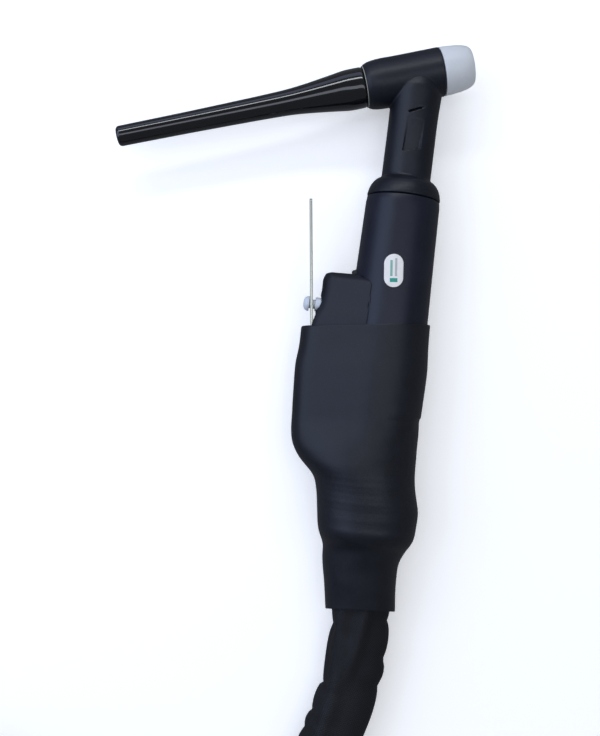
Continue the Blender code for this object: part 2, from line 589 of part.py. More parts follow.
def make_power_end(coil):
    """Power tail with its plug: boot, contact pin and the cooling water's outlet."""
    cable("power_tail", smooth_route(POWER_ROUTE, 2), POWER_TAIL_RADIUS, coil, "hose_rubber", 2)
    x, y, z = POWER_ROUTE[-1]
    turn = (90, 0, 0)
    boot = ((0, GAP), (8.5, GAP), (10.5, 8.0), (12.5, 20.0), (14.0, 27.0), (14.0, 58.0), (13.0, 60.0),
            (8.5, 60.0), (8.5, 50.0), (0, 50.0))
    shell = turned("power_plug_boot", boot, coil, "hose_rubber", 20, (x, y, z), turn)
    combine(shell, rod("outlet_space", 4.3, 0.0, 20.0, coil, "hose_rubber", 16, (x, y - OUTLET_PLACE, z)))
    pin = ((0, 50.4), (8.0, 50.4), (8.0, 62.0), (6.5, 62.6), (6.5, 84.0), (5.6, 86.0), (0, 86.0))
    contact = turned("power_plug_pin", pin, coil, "brass", 16, (x, y, z), turn)
    key = block("pin_key", (-1.6, 6.0, 70.0), (1.6, 8.6, 84.0), coil, "brass", 0.0, (x, y, z), turn)
    combine(contact, key, "UNION")
    nipple = ((0, 0.6), (3.9, 0.6), (3.9, 13.8), (5.4, 14.6), (5.4, 19.0), (3.6, 19.6), (3.6, 21.5),
              (4.3, 22.0), (3.4, 25.0), (2.0, 25.0), (2.0, 3.0), (0, 3.0))
    turned("power_return_nipple", nipple, coil, "plated_steel", 16, (x, y - OUTLET_PLACE, z))


def hexagon(name, across, low, high, parent, finish, location, rotation):
    """A six-sided bar along its local Z."""
    outline = ((0, low), (across / math.sqrt(3), low), (across / math.sqrt(3), high), (0, high))
    return turned(name, outline, parent, finish, 6, location, rotation)


def make_gas_end(coil, nut_axis):
    """Gas tail, its crimp, the nipple and the union nut that turns on it."""
    cable("gas_tail", smooth_route(GAS_ROUTE, 2), GAS_TAIL_RADIUS, coil, "hose_rubber", 2)
    place_at = GAS_ROUTE[-1]
    turn = (90, 0, 0)
    pipe("gas_crimp", GAS_TAIL_RADIUS + GAP, 5.9, -9.0, -0.2, coil, "brass", 16, place_at, turn)
    stem = ((0, 0.3), (4.0, 0.3), (4.0, 9.6), (7.2, 9.6), (7.2, 11.4), (3.2, 14.6), (1.8, 14.6),
            (1.8, 3.0), (0, 3.0))
    turned("gas_nipple", stem, coil, "brass", 20, place_at, turn)
    nut = hexagon("gas_union_nut", 18.6, -8.0, 8.0, nut_axis, "brass", (0, 0, 0), (0, 0, 0))
    hole = ((0, -10.0), (4.4, -10.0), (4.4, -4.7), (7.6, -4.7), (7.6, 1.0), (7.6, 10.0), (0, 10.0))
    combine(nut, turned("nut_thread_space", hole, nut_axis, "brass", 24))


def make_water_end(coil):
    """Water supply tail, its crimp and its quick-coupling nipple."""
    cable("water_tail", smooth_route(WATER_ROUTE, 2), WATER_TAIL_RADIUS, coil, "hose_rubber", 2)
    place_at = WATER_ROUTE[-1]
    turn = (90, 0, 0)
    pipe("water_crimp", WATER_TAIL_RADIUS + GAP, 6.6, -10.0, -0.2, coil, "plated_steel", 16, place_at, turn)
    nipple = ((0, 0.3), (7.3, 0.3), (7.3, 8.0), (5.0, 8.6), (5.0, 14.0), (6.2, 14.8), (6.2, 18.0),
              (4.6, 19.4), (4.6, 26.0), (1.9, 26.0), (1.9, 4.0), (0, 4.0))
    turned("water_coupling_nipple", nipple, coil, "plated_steel", 16, place_at, turn)


def make_control_end(coil, ring_axis):
    """Control tail and its round plug with a contact insert and a turning coupling ring."""
    cable("control_tail", smooth_route(CONTROL_ROUTE, 2), CONTROL_TAIL_RADIUS, coil, "hose_rubber", 2)
    place_at = CONTROL_ROUTE[-1]
    turn = (90, 0, 0)
    body = ((0, 0.3), (4.4, 0.3), (5.4, 3.0), (5.4, 9.0), (8.2, 12.0), (8.2, 30.0), (7.0, 30.6),
            (7.0, 46.0), (6.0, 46.0), (6.0, 33.0), (0, 33.0))
    turned("control_plug_body", body, coil, "plated_steel", 20, place_at, turn)
    insert = rod("control_plug_insert", 5.7, 33.3, 35.0, coil, "switch_plastic", 20, place_at, turn)
    for number in range(5):
        angle = math.radians(54 + 72 * number)
        spot = (3.4 * math.cos(angle), 3.4 * math.sin(angle), 0)
        pin = rod(f"contact_pin_{number}", 0.6, 34.0, 40.5, insert, "brass", 8, spot)
        combine(insert, pin, "UNION")
    ring = ((8.5, -7.0), (9.9, -6.4), (9.9, 8.0), (9.3, 8.8), (7.4, 8.8), (7.4, 3.2), (8.5, 2.6))
    turned("control_plug_ring", ring, ring_axis, "plated_steel", 24)


def build():
    """Sets out the datums and joints, then makes every sub-part."""
    for thing in list(bpy.data.objects):
        bpy.data.objects.remove(thing, do_unlink=True)
    make_materials()
    datum = add_empty("torch_datum", DATUM)
    head = add_empty("head_axis", (0, 0, 0), (0, 90, HEAD_LEAN), datum)
    cap_axis = add_empty("cap_turn_axis", (0, 0, 0), (0, -90, HEAD_LEAN), datum)
    handle = add_empty("handle_axis", (0, 0, 0), (90, 0, 0), datum)
    trigger = add_empty("lamella_pivot", (*LAMELLA_PIVOT, 0), (0, 0, 0), datum)
    ground = add_empty("floor_datum", (DATUM[0], DATUM[1], 0))
    coil = add_empty("coil_centre", (*COIL_CENTRE, 0), (0, 0, 0), ground)
    make_head(head, handle)
    make_tubes(handle)
    make_cap(cap_axis)
    make_handle(handle, datum)
    make_boot(datum)
    make_switch(datum)
    make_trigger(trigger)
    make_sleeve(datum)
    make_jacket(ground, coil)
    make_ties(coil)
    make_power_end(coil)
    x, y, z = GAS_ROUTE[-1]
    make_gas_end(coil, add_empty("gas_nut_axis", (x, y - 14.0, z), (90, 0, 0), coil))
    make_water_end(coil)
    x, y, z = CONTROL_ROUTE[-1]
    make_control_end(coil, add_empty("control_ring_axis", (x, y - 28.0, z), (90, 0, 0), coil))
    bpy.context.view_layer.update()


build()
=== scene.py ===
"""Looks of the TIG welding torch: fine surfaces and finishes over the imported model.

Lengths in the constants and profiles are millimetres. Handle places are (x, distance down the handle,
height) from the datum where the handle's axis meets the head's axis.
"""

import json
import math

import bmesh
import bpy
import numpy as np
from mathutils import Matrix, Vector


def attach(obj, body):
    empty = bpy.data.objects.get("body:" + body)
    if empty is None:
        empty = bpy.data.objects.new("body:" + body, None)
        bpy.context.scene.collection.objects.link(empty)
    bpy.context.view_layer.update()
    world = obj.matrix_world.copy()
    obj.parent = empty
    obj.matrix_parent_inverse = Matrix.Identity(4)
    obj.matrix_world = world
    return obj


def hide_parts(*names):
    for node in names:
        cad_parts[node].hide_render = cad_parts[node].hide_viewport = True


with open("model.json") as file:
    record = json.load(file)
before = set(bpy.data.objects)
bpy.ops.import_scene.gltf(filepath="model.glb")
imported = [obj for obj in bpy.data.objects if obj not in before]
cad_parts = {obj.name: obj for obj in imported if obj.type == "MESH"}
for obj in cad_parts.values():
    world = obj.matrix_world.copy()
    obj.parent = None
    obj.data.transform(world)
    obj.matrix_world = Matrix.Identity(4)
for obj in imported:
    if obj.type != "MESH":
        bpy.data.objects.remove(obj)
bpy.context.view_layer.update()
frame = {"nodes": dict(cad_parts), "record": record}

MM = 0.001
JOINTS = {joint["name"]: joint for joint in frame["record"]["behaviour"]["joints"]}
DATUM = Vector(JOINTS["cap_turn"]["pos_m"])
NOZZLE = -Vector(JOINTS["cap_turn"]["axis"]).normalized()
DOWN = Vector((0, -1, 0))
UP = Vector((0, 0, 1))

# Camera
CAMERA_OFFSET = (-35.9, -133.6, 407.0)
CAMERA_ROLL = 7.1
CAMERA_LENS = 45.3

# Head and handle
HEAD_REAR = -24.0
HEAD_FRONT = 9.9
HANDLE_RADII = ((53.0, 16.05), (83.0, 16.65), (107.0, 17.2), (149.0, 17.6), (205.0, 17.85))
HANDLE_END = 198.0
LABEL_PLACE = (-1.8, 88.0)
LABEL_RADIUS = 4.0
LABEL_STRAIGHT = 6.0
LABEL_LEAN = 6.0
SEAM = 54.6

# Switch boot and lamella
BOOT_OUTLINE = (
    (90.4, -28.2), (90.8, -29.3), (91.9, -30), (98.2, -30.6), (101.4, -30.9), (105.5, -31.8),
    (109, -33.4), (112.4, -34.4), (119, -35.5), (131, -36.2), (143, -35.7), (155, -34.9),
    (162, -33.8), (167, -31.8), (170, -28),
)
BOOT_EDGE_RADIUS = 8.2
BOOT_WING = 0.8
BOOT_WING_EDGE = -9.3
BOOT_WING_END = 110.0
LAMELLA_PIVOT = (-32.66, 118.0)
LAMELLA_FOOT = (-32.2, 121.5)
LAMELLA_TOP = (-40.3, 59.6)
STUD_PLACE = 105.0

# Heat-shrink sleeve: distance down the handle, left edge, right edge
SLEEVE_OUTLINE = (
    (110.4, -37.6, 18.4), (119, -37.5, 18.8), (131, -38.2, 19.7), (143, -37.7, 19.5),
    (155, -36.9, 19.3), (161, -36.5, 19.3), (167, -35, 19.6), (173, -31, 19.8),
    (179, -24.6, 20.5), (185, -22.4, 22), (191, -21.3, 23.4), (197, -20.4, 23.2),
    (203, -19.2, 22.6), (209, -16.4, 19.6), (215, -15.9, 17.8), (227, -13.4, 18.2),
    (237.2, -11.5, 19.2),
)
# Distance down the handle, height of the sleeve's top above the axis
SLEEVE_TOP_LINE = (
    (110, 18.4), (119, 18.8), (131, 19.4), (155, 19.3), (175, 19.7), (196, 19.8),
    (201, 19.6), (204, 18.6), (207, 16), (211, 14.6), (216, 13.2), (225, 12),
    (238, 10.9),
)
SLEEVE_WALL = 0.9
SLEEVE_BOOT_RADIUS = 9.6       # round of the sleeve over the boot's outer edge
SLEEVE_MERGE = (152.0, 184.0)  # where the boot's bulge runs out into one round tube
SLEEVE_SETTLE = (150.0, 198.0)  # where its underside comes down to the floor
SLEEVE_SMOOTHING = 14
CREASE_PLACE = 203.4
# Place down the handle, width and height of each shrink ring
SHRINK_RINGS = (
    (176.5, 0.7, 0.035), (179.5, 0.9, 0.05), (183, 0.8, -0.045), (187, 1, 0.065),
    (190.5, 0.9, -0.04), (194, 1.1, 0.06), (197.5, 1, -0.06),
)

# Hose package: routes are (x, y) from the datum and height above the floor
JACKET_DIAMETER = 26.5
JACKET_LENGTH = 3.81
JACKET_START = 225.0           # the package starts this far down, inside the sleeve
LEAD_ROUTE = (
    (1, -214, 16.9), (2.6, -225, 16.3), (3.9, -237, 15.5), (4.3, -250, 14.3),
    (4.1, -262, 13.6), (2.9, -273, 13.35), (0.6, -283.5, 13.35), (-1.8, -293, 13.35),
    (-5, -306, 13.35), (-9, -325, 13.4), (-12.8, -348, 13.6), (-16, -374, 14),
    (-18, -400, 14.4), (-19.1, -430, 14.6), (-19.4, -465, 14.65),
)
COIL_CENTRE = (-187.75, -501.5)
COIL_INNER = 128.5
COIL_OUTER = 181.5
COIL_BASE = 1.4
COIL_HEIGHT = 53.0
INNER_TURN_RADIUS = 112.4
JACKET_END = 120.0
SPLITTER_END = 104.0
TIE_ANGLES = (20.0, 88.0, 165.0, 262.0)
TIE_WIDTH = 20.0
POWER_ROUTE = (
    (-26.8, 114.2, 7.2), (-10, 116.2, 6.7), (14, 112.5, 6.6), (36, 100.5, 6.6),
    (53.5, 80.5, 6.6), (63.5, 56, 7.2), (66, 38, 9.5), (66, 26, 12.6),
    (66, 18, 14), (66, 12, 14.3),
)
GAS_ROUTE = (
    (-26.5, 113.3, 18.8), (-9, 110.5, 17.2), (1, 105, 13.8), (11, 99, 9.4),
    (24, 87, 5.5), (34, 71, 4.6), (37.5, 50, 4.6), (38, 30, 5.8),
    (38, 12, 8.2), (38, -4, 9.8), (38, -14, 9.9),
)
WATER_ROUTE = (
    (-23.9, 102.9, 5.8), (-10, 101, 5.2), (3, 91.5, 5.1), (11.5, 75, 5.1),
    (14, 56, 5.1), (14, 36, 5.1), (14, 18, 5.6), (14, 2, 6.9),
    (14, -10, 7.5), (14, -20, 7.6),
)
CONTROL_ROUTE = (
    (-24.2, 104, 16.2), (-14, 101.5, 15.8), (-6.5, 94, 14.2), (-3, 82, 9.8),
    (-2.5, 67, 5.5), (-4, 51, 3.5), (-6.5, 35, 3.3), (-9, 18, 5.6),
    (-10, 4, 8.6), (-10, -8, 10.2), (-10, -16, 10.3),
)

# Stage: each lamp's name, place and target in metres from the datum, size, power and colour
WORLD_COLOUR = (0.85, 0.90, 1.0, 1)
WORLD_STRENGTH = 0.16
FLOOR_COLOUR = (0.92, 0.92, 0.93, 1)
FLOOR_GLOW = 0.34
FLOOR_HALF = 3.0
FLOOR_TOP = -0.0004
LAMP_AIM = (-0.02, -0.08, 0)
LAMPS = (
    ("overhead", (-0.20, -0.05, 1.1), LAMP_AIM, (1.3, 1.3), 5.0, (0.92, 0.95, 1.0)),
    ("left", (-0.92, -0.05, 0.66), LAMP_AIM, (1.0, 1.0), 5.6, (0.55, 0.68, 1.0)),
    ("band", (0.14, -0.08, 0.95), LAMP_AIM, (0.26, 1.2), 1.7, (0.82, 0.88, 1.0)),
    ("rear", (-0.30, 1.10, 0.40), LAMP_AIM, (1.4, 0.5), 1.6, (0.62, 0.70, 1.0)),
    ("streak", (-0.22, 0.60, 0.66), (-0.06, 0, 0), (1.0, 0.11), 2.6, (0.90, 0.95, 1.0)),
)
HIDDEN_IN_GLOSS = ("overhead",)

FINISHES = {}


# --- places and small shapes


def on_handle(x, distance, height):
    """A place from millimetres across, down the handle and above its axis."""
    return DATUM + Vector((x, -distance, height)) * MM


def on_floor(x, y, height):
    """A place from millimetres beside the datum and above the floor."""
    return Vector((DATUM.x + x * MM, DATUM.y + y * MM, height * MM))


def by_coil(x, y, height):
    """A place from millimetres beside the coil's centre and above the floor."""
    return on_floor(COIL_CENTRE[0] + x, COIL_CENTRE[1] + y, height)


def smoothstep(value, low, high):
    """0 below low, 1 above high and smooth between them."""
    t = np.clip((np.asarray(value, float) - low) / (high - low), 0.0, 1.0)
    return t * t * (3 - 2 * t)


def bump(value, centre, width):
    """A bell curve of height 1."""
    return np.exp(-((np.asarray(value, float) - centre) / width) ** 2)


def spline(rows, places):
    """Smooth values at places, from rows of (place, value, ...), without overshoot."""
    rows = np.asarray(rows, float)
    x = rows[:, 0]
    result = []
    for column in range(1, rows.shape[1]):
        y = rows[:, column]
        step = np.diff(x)
        slope = np.diff(y) / step
        tangent = np.empty(len(x))
        tangent[0], tangent[-1] = slope[0], slope[-1]
        same = slope[:-1] * slope[1:] > 0
        mean = (slope[:-1] * step[1:] + slope[1:] * step[:-1]) / (step[1:] + step[:-1])
        tangent[1:-1] = np.where(same, mean, 0.0)
        spot = np.clip(np.searchsorted(x, places) - 1, 0, len(x) - 2)
        t = (places - x[spot]) / step[spot]
        result.append(y[spot] * (1 + 2 * t) * (1 - t) ** 2 + step[spot] * tangent[spot] * t * (1 - t) ** 2
                      + y[spot + 1] * t * t * (3 - 2 * t) + step[spot] * tangent[spot + 1] * t * t * (t - 1))
    return result


def softened(places, values, width):
    """Values averaged over a width along their places, with both ends kept."""
    weights = np.exp(-((places[:, None] - places[None, :]) / width) ** 2)
    soft = (weights @ values) / weights.sum(axis=1)
    edge = np.minimum(places - places[0], places[-1] - places)
    share = smoothstep(edge, 0.0, 3.0 * width)
    return values * (1 - share) + soft * share


def resampled(points, spacing):
    """Points at an even spacing along a line."""
    points = np.asarray(points, float)
    lengths = np.linalg.norm(np.diff(points, axis=0), axis=1)
    run = np.concatenate(([0.0], np.cumsum(lengths)))
    count = max(2, int(round(run[-1] / spacing)) + 1)
    places = np.linspace(0.0, run[-1], count)
    return np.stack([np.interp(places, run, points[:, axis]) for axis in range(3)], axis=1)


def smooth_route(points, steps=16):
    """Points along a Catmull-Rom curve through a route's own points."""
    route = [np.array(point, float) for point in points]
    route = [route[0] * 2 - route[1]] + route + [route[-1] * 2 - route[-2]]
    curve = []
    for before, start, end, after in zip(route, route[1:], route[2:], route[3:]):
        for step in range(steps):
            t = step / steps
            curve.append(0.5 * (2 * start + (end - before) * t
                                + (2 * before - 5 * start + 4 * end - after) * t ** 2
                                + (3 * start - before - 3 * end + after) * t ** 3))
    curve.append(route[-2])
    return np.array(curve)


def filleted(outline, radius=0.3, steps=3):
    """The outline with each corner rounded by a small curve."""
    points = [np.array(point, float) for point in outline]
    result = [points[0]]
    for before, corner, after in zip(points, points[1:], points[2:]):
        back, ahead = before - corner, after - corner
        reach = min(radius, 0.45 * np.linalg.norm(back), 0.45 * np.linalg.norm(ahead))
        start = corner + back / np.linalg.norm(back) * reach
        end = corner + ahead / np.linalg.norm(ahead) * reach
        for step in range(steps + 1):
            t = step / steps
            result.append((1 - t) ** 2 * start + 2 * t * (1 - t) * corner + t * t * end)
    result.append(points[-1])
    return result


def finish_object(name, mesh, body, slot, nodes=(), smooth_angle=40.0):
    """Links a mesh, gives it its finish and its body, and hides the CAD nodes it stands for."""
    mesh.shade_smooth()
    mesh.set_sharp_from_angle(angle=math.radians(smooth_angle))
    thing = bpy.data.objects.new(name, mesh)
    bpy.context.collection.objects.link(thing)
    mesh.materials.append(FINISHES[slot])
    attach(thing, body)
    if nodes:
        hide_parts(*nodes)
    return thing


def grid_mesh(name, rings, loop=False, uv=None):
    """A closed skin over rings of points in metres; uv gives each ring point's (u, v)."""
    rings = np.asarray(rings, float)
    count, around = rings.shape[:2]
    mesh = bpy.data.meshes.new(name)
    faces = []
    last = count if loop else count - 1
    for row in range(last):
        a, b = row * around, (row + 1) % count * around
        for step in range(around):
            after = (step + 1) % around
            faces.append((a + step, a + after, b + after, b + step))
    if not loop:
        faces += [tuple(range(around))[::-1], tuple(range((count - 1) * around, count * around))]
    mesh.from_pydata(rings.reshape(-1, 3).tolist(), [], faces)
    if uv is not None:
        layer = mesh.uv_layers.new(name="weave")
        flat = np.zeros((len(mesh.loops), 2))
        turns, along = uv
        spot = 0
        for row in range(last):
            for step in range(around):
                for ring_row, side in ((row, step), (row, step + 1), (row + 1, step + 1), (row + 1, step)):
                    flat[spot] = (turns * side / around, along[ring_row])
                    spot += 1
        layer.data.foreach_set("uv", flat.ravel())
    shape = bmesh.new()
    shape.from_mesh(mesh)
    bmesh.ops.recalc_face_normals(shape, faces=shape.faces)
    shape.to_mesh(mesh)
    shape.free()
    return mesh


def turned_mesh(name, outline, centre, axis, segments=96, fillet=0.3):
    """A skin turned round an axis from (radius, height) points in millimetres."""
    outline = filleted(outline, fillet) if fillet else outline
    axis = Vector(axis).normalized()
    side = axis.orthogonal().normalized()
    other = axis.cross(side)
    closed = min(point[0] for point in outline) > 0
    shape = bmesh.new()
    loops = []
    for radius, height in outline:
        middle = Vector(centre) + axis * (height * MM)
        if radius <= 0:
            loops.append([shape.verts.new(middle)])
            continue
        ring = []
        for step in range(segments):
            turn = math.tau * step / segments
            reach = side * math.cos(turn) + other * math.sin(turn)
            ring.append(shape.verts.new(middle + reach * (radius * MM)))
        loops.append(ring)
    pairs = list(zip(loops, loops[1:]))
    if closed:
        pairs.append((loops[-1], loops[0]))
    for first, second in pairs:
        for step in range(segments):
            after = (step + 1) % segments
            corners = dict.fromkeys((first[step % len(first)], first[after % len(first)],
                                     second[after % len(second)], second[step % len(second)]))
            if len(corners) > 2:
                shape.faces.new(tuple(corners))
    bmesh.ops.recalc_face_normals(shape, faces=shape.faces)
    mesh = bpy.data.meshes.new(name)
    shape.to_mesh(mesh)
    shape.free()
    return mesh


def turned(name, outline, centre, axis, body, slot, nodes=(), segments=96, fillet=0.3):
    """A finished turned piece."""
    mesh = turned_mesh(name, outline, centre, axis, segments, fillet)
    return finish_object(name, mesh, body, slot, nodes)


def box_mesh(name, low, high, centre, turn_z=0.0):
    """A plain block, used as a cutter."""
    shape = bmesh.new()
    bmesh.ops.create_cube(shape, size=1.0)
    bmesh.ops.scale(shape, vec=[(b - a) * MM for a, b in zip(low, high)], verts=shape.verts)
    bmesh.ops.translate(shape, vec=[(b + a) / 2 * MM for a, b in zip(low, high)], verts=shape.verts)
    turn = Matrix.Rotation(math.radians(turn_z), 4, "Z")
    bmesh.ops.transform(shape, matrix=Matrix.Translation(centre) @ turn, verts=shape.verts)
    mesh = bpy.data.meshes.new(name)
    shape.to_mesh(mesh)
    shape.free()
    return mesh


def carved(name, base, steps, voxel, smoothing):
    """Joins and cuts meshes, then remeshes and softens the result as one moulded skin."""
    thing = bpy.data.objects.new(name, base)
    bpy.context.collection.objects.link(thing)
    tools = []
    for operation, mesh in steps:
        tool = bpy.data.objects.new(mesh.name, mesh)
        bpy.context.collection.objects.link(tool)
        tools.append(tool)
        cut = thing.modifiers.new(mesh.name, "BOOLEAN")
        cut.operation = operation
        cut.solver = "EXACT"
        cut.object = tool
    remesh = thing.modifiers.new("moulded", "REMESH")
    remesh.mode = "VOXEL"
    remesh.voxel_size = voxel * MM
    soften = thing.modifiers.new("soften", "SMOOTH")
    soften.factor = 0.5
    soften.iterations = smoothing
    bpy.context.view_layer.update()
    shape = bpy.data.meshes.new_from_object(thing.evaluated_get(bpy.context.evaluated_depsgraph_get()))
    for item in (*tools, thing):
        bpy.data.objects.remove(item, do_unlink=True)
    shape.name = name
    return shape


# --- finishes


class Nodes:
    """Short names for building one material's node tree."""

    def __init__(self, name):
        self.material = bpy.data.materials.new(name)
        self.material.use_nodes = True
        self.tree = self.material.node_tree
        self.shader = self.tree.nodes["Principled BSDF"]
        self.place = self.add("ShaderNodeTexCoord").outputs["Object"]

    def add(self, kind, inputs=None, **settings):
        """One node with its settings and inputs."""
        node = self.tree.nodes.new(kind)
        for key, value in settings.items():
            setattr(node, key, value)
        for key, value in (inputs or {}).items():
            self.link(value, node.inputs[key])
        return node

    def link(self, value, socket):
        """Links a socket, or sets a constant."""
        if isinstance(value, bpy.types.NodeSocket):
            self.tree.links.new(value, socket)
        else:
            socket.default_value = value

    def surface(self, **inputs):
        """Sets or links inputs of the material's shader, with _ for a space."""
        for key, value in inputs.items():
            self.link(value, self.shader.inputs[key.replace("_", " ")])

    def relief(self, distance, height, **below):
        """A bump whose full height is a distance in millimetres."""
        return self.add("ShaderNodeBump", {"Strength": 1.0, "Distance": distance * MM, "Height": height,
                                           **below}).outputs["Normal"]

    def plane(self, uv_map):
        """The u and v of a UV map."""
        uv = self.add("ShaderNodeUVMap", uv_map=uv_map).outputs["UV"]
        parts = self.add("ShaderNodeSeparateXYZ", {"Vector": uv})
        return parts.outputs["X"], parts.outputs["Y"]

    def noise(self, scale, detail=4.0, where=None, roughness=0.6):
        """Noise at a scale in 1/m."""
        return self.add("ShaderNodeTexNoise", {"Vector": where or self.place, "Scale": scale,
                                               "Detail": detail, "Roughness": roughness}).outputs["Fac"]

    def stretched(self, scale):
        """The place, scaled differently along x, y and z."""
        return self.add("ShaderNodeMapping", {"Vector": self.place, "Scale": scale}).outputs["Vector"]

    def math(self, operation, a, b=0.0, c=0.0):
        """One arithmetic step."""
        return self.add("ShaderNodeMath", {0: a, 1: b, 2: c}, operation=operation).outputs["Value"]

    def spread(self, value, low, high, floor=0.0, top=1.0):
        """A value mapped from one range to another."""
        return self.add("ShaderNodeMapRange", {"Value": value, "From Min": low, "From Max": high,
                                               "To Min": floor, "To Max": top}).outputs["Result"]

    def mix(self, amount, first, second):
        """A mix of two colours."""
        node = self.add("ShaderNodeMix", data_type="RGBA")
        self.link(amount, node.inputs["Factor"])
        self.link(first, node.inputs["A"])
        self.link(second, node.inputs["B"])
        return node.outputs["Result"]


def tint(colour, factor):
    """A colour made lighter or darker."""
    return (*[min(1.0, value * factor) for value in colour], 1.0)


def make_finish(name, colour, roughness, metallic=0.0, vary=0.18, rough_vary=0.06, grain=2500.0,
                grain_height=0.02, wave_height=0.05, coat=0.0, specular=0.5, stretch=None, dust=0.0,
                sheen=0.0):
    """A procedural finish: colour, roughness and surface height all vary from place to place."""
    n = Nodes(name)
    where = n.stretched(stretch) if stretch else n.place
    broad = n.noise(90.0, 5.0)
    fine = n.noise(grain, 3.0, where)
    colour_out = n.mix(n.spread(broad, 0.3, 0.7), tint(colour, 1 - vary), tint(colour, 1 + vary))
    if dust:
        specks = n.spread(n.noise(1400.0, 6.0), 0.62, 0.74, 0.0, dust)
        colour_out = n.mix(specks, colour_out, (0.30, 0.31, 0.34, 1))
    blend = n.math("ADD", n.math("MULTIPLY", broad, 0.5), n.math("MULTIPLY", fine, 0.5))
    low = n.relief(wave_height, n.noise(240.0, 2.0))
    n.surface(Base_Color=colour_out, Metallic=metallic, Specular_IOR_Level=specular, Coat_Weight=coat,
              Coat_Roughness=0.06, Sheen_Weight=sheen, Normal=n.relief(grain_height, fine, Normal=low),
              Roughness=n.spread(blend, 0.3, 0.7, roughness - rough_vary, roughness + rough_vary))
    FINISHES[name] = n.material


def make_textile():
    """Black braided cover: two sets of threads cross at a slant round the hose package."""
    n = Nodes("jacket_textile")
    u, v = n.plane("weave")
    one = n.math("SINE", n.math("MULTIPLY", n.math("ADD", u, v), math.tau))
    two = n.math("SINE", n.math("MULTIPLY", n.math("SUBTRACT", u, v), math.tau))
    braid = n.math("MAXIMUM", one, two)
    broad = n.noise(70.0, 5.0)
    fuzz = n.noise(3500.0, 4.0)
    thread = n.mix(n.spread(broad, 0.3, 0.7), (0.0025, 0.0028, 0.0045, 1), (0.0065, 0.0072, 0.0115, 1))
    # Painted shade: the colour goes towards near-black (0.002, 0.002, 0.003) in the grooves between the
    # braid's threads, and the fuzz also varies the tone at random.
    lit = n.math("MULTIPLY", n.spread(braid, -0.2, 1.0, 0.6, 1.0), n.spread(fuzz, 0.3, 0.7, 0.6, 1.0))
    height = n.math("ADD", n.math("MULTIPLY", braid, 0.8), n.math("MULTIPLY", fuzz, 0.5))
    n.surface(Base_Color=n.mix(lit, (0.002, 0.002, 0.003, 1), thread),
              Roughness=n.spread(fuzz, 0.3, 0.7, 0.50, 0.72), Normal=n.relief(0.09, height))
    FINISHES["jacket_textile"] = n.material


def make_label():
    """Pale printed film with a plain teal bar and thin grey lines."""
    n = Nodes("label_film")
    u, v = n.plane("face")

    def inside(value, low, high):
        return n.math("MULTIPLY", n.math("GREATER_THAN", value, low), n.math("LESS_THAN", value, high))

    paper = n.mix(n.spread(n.noise(300.0, 4.0), 0.3, 0.7), (0.76, 0.74, 0.71, 1), (0.84, 0.82, 0.79, 1))
    bar = n.math("MULTIPLY", inside(u, -1.6, 1.6), inside(v, -4.9, -3.2))
    teal_line = n.math("MULTIPLY", inside(u, -1.5, -0.5), inside(v, -2.4, 4.4))
    grey_line = n.math("MULTIPLY", inside(u, 0.5, 1.4), inside(v, -2.4, 5.2))
    teal = n.math("MAXIMUM", bar, n.math("MULTIPLY", teal_line, 0.75))
    colour = n.mix(teal, paper, (0.005, 0.30, 0.22, 1))
    n.surface(Base_Color=n.mix(n.math("MULTIPLY", grey_line, 0.6), colour, (0.20, 0.21, 0.21, 1)),
              Roughness=n.spread(n.noise(900.0, 3.0), 0.3, 0.7, 0.30, 0.42),
              Normal=n.relief(0.01, n.noise(1800.0)))
    FINISHES["label_film"] = n.material


def make_finishes():
    """Every material slot of the record."""
    make_finish("silicone_rubber", (0.0058, 0.0072, 0.0125), 0.40, specular=0.42, grain=3200.0,
                grain_height=0.03, dust=0.04)
    make_finish("gloss_phenolic", (0.004, 0.004, 0.005), 0.10, grain_height=0.002, wave_height=0.010,
                rough_vary=0.03, coat=0.7)
    make_finish("white_ptfe", (0.62, 0.64, 0.66), 0.38, vary=0.05, grain_height=0.01)
    make_finish("o_ring_rubber", (0.012, 0.012, 0.013), 0.5)
    make_finish("brass", (0.66, 0.50, 0.22), 0.28, 1.0, vary=0.12, stretch=(1, 1, 14), grain_height=0.008)
    make_finish("copper", (0.72, 0.40, 0.27), 0.30, 1.0, vary=0.15, grain_height=0.01)
    make_finish("handle_plastic", (0.0075, 0.0088, 0.019), 0.38, specular=0.42, grain=3000.0,
                grain_height=0.025, dust=0.03)
    make_finish("boot_rubber", (0.0085, 0.0098, 0.0165), 0.50, specular=0.4, grain=2600.0,
                grain_height=0.04, dust=0.06)
    make_finish("switch_plastic", (0.03, 0.03, 0.035), 0.5)
    make_finish("spring_steel", (0.60, 0.60, 0.50), 0.30, 1.0, vary=0.10, stretch=(1, 24, 1),
                grain_height=0.006)
    make_finish("stud_plastic", (0.58, 0.63, 0.70), 0.40, vary=0.10)
    make_finish("sleeve_rubber", (0.0072, 0.0084, 0.0135), 0.42, specular=0.4, grain=1900.0,
                grain_height=0.04, stretch=(1, 1.6, 1), dust=0.04)
    make_finish("tie_webbing", (0.016, 0.016, 0.018), 0.85, grain=2200.0, grain_height=0.12, sheen=0.3)
    make_finish("hose_rubber", (0.017, 0.017, 0.019), 0.48, grain_height=0.03)
    make_finish("wire_pvc", (0.20, 0.20, 0.22), 0.5)
    make_finish("plated_steel", (0.62, 0.62, 0.60), 0.26, 1.0, vary=0.08, stretch=(1, 14, 1),
                grain_height=0.006)
    make_finish("seat_line", (0.30, 0.30, 0.27), 0.5, vary=0.08)
    make_textile()
    make_label()


# --- torch


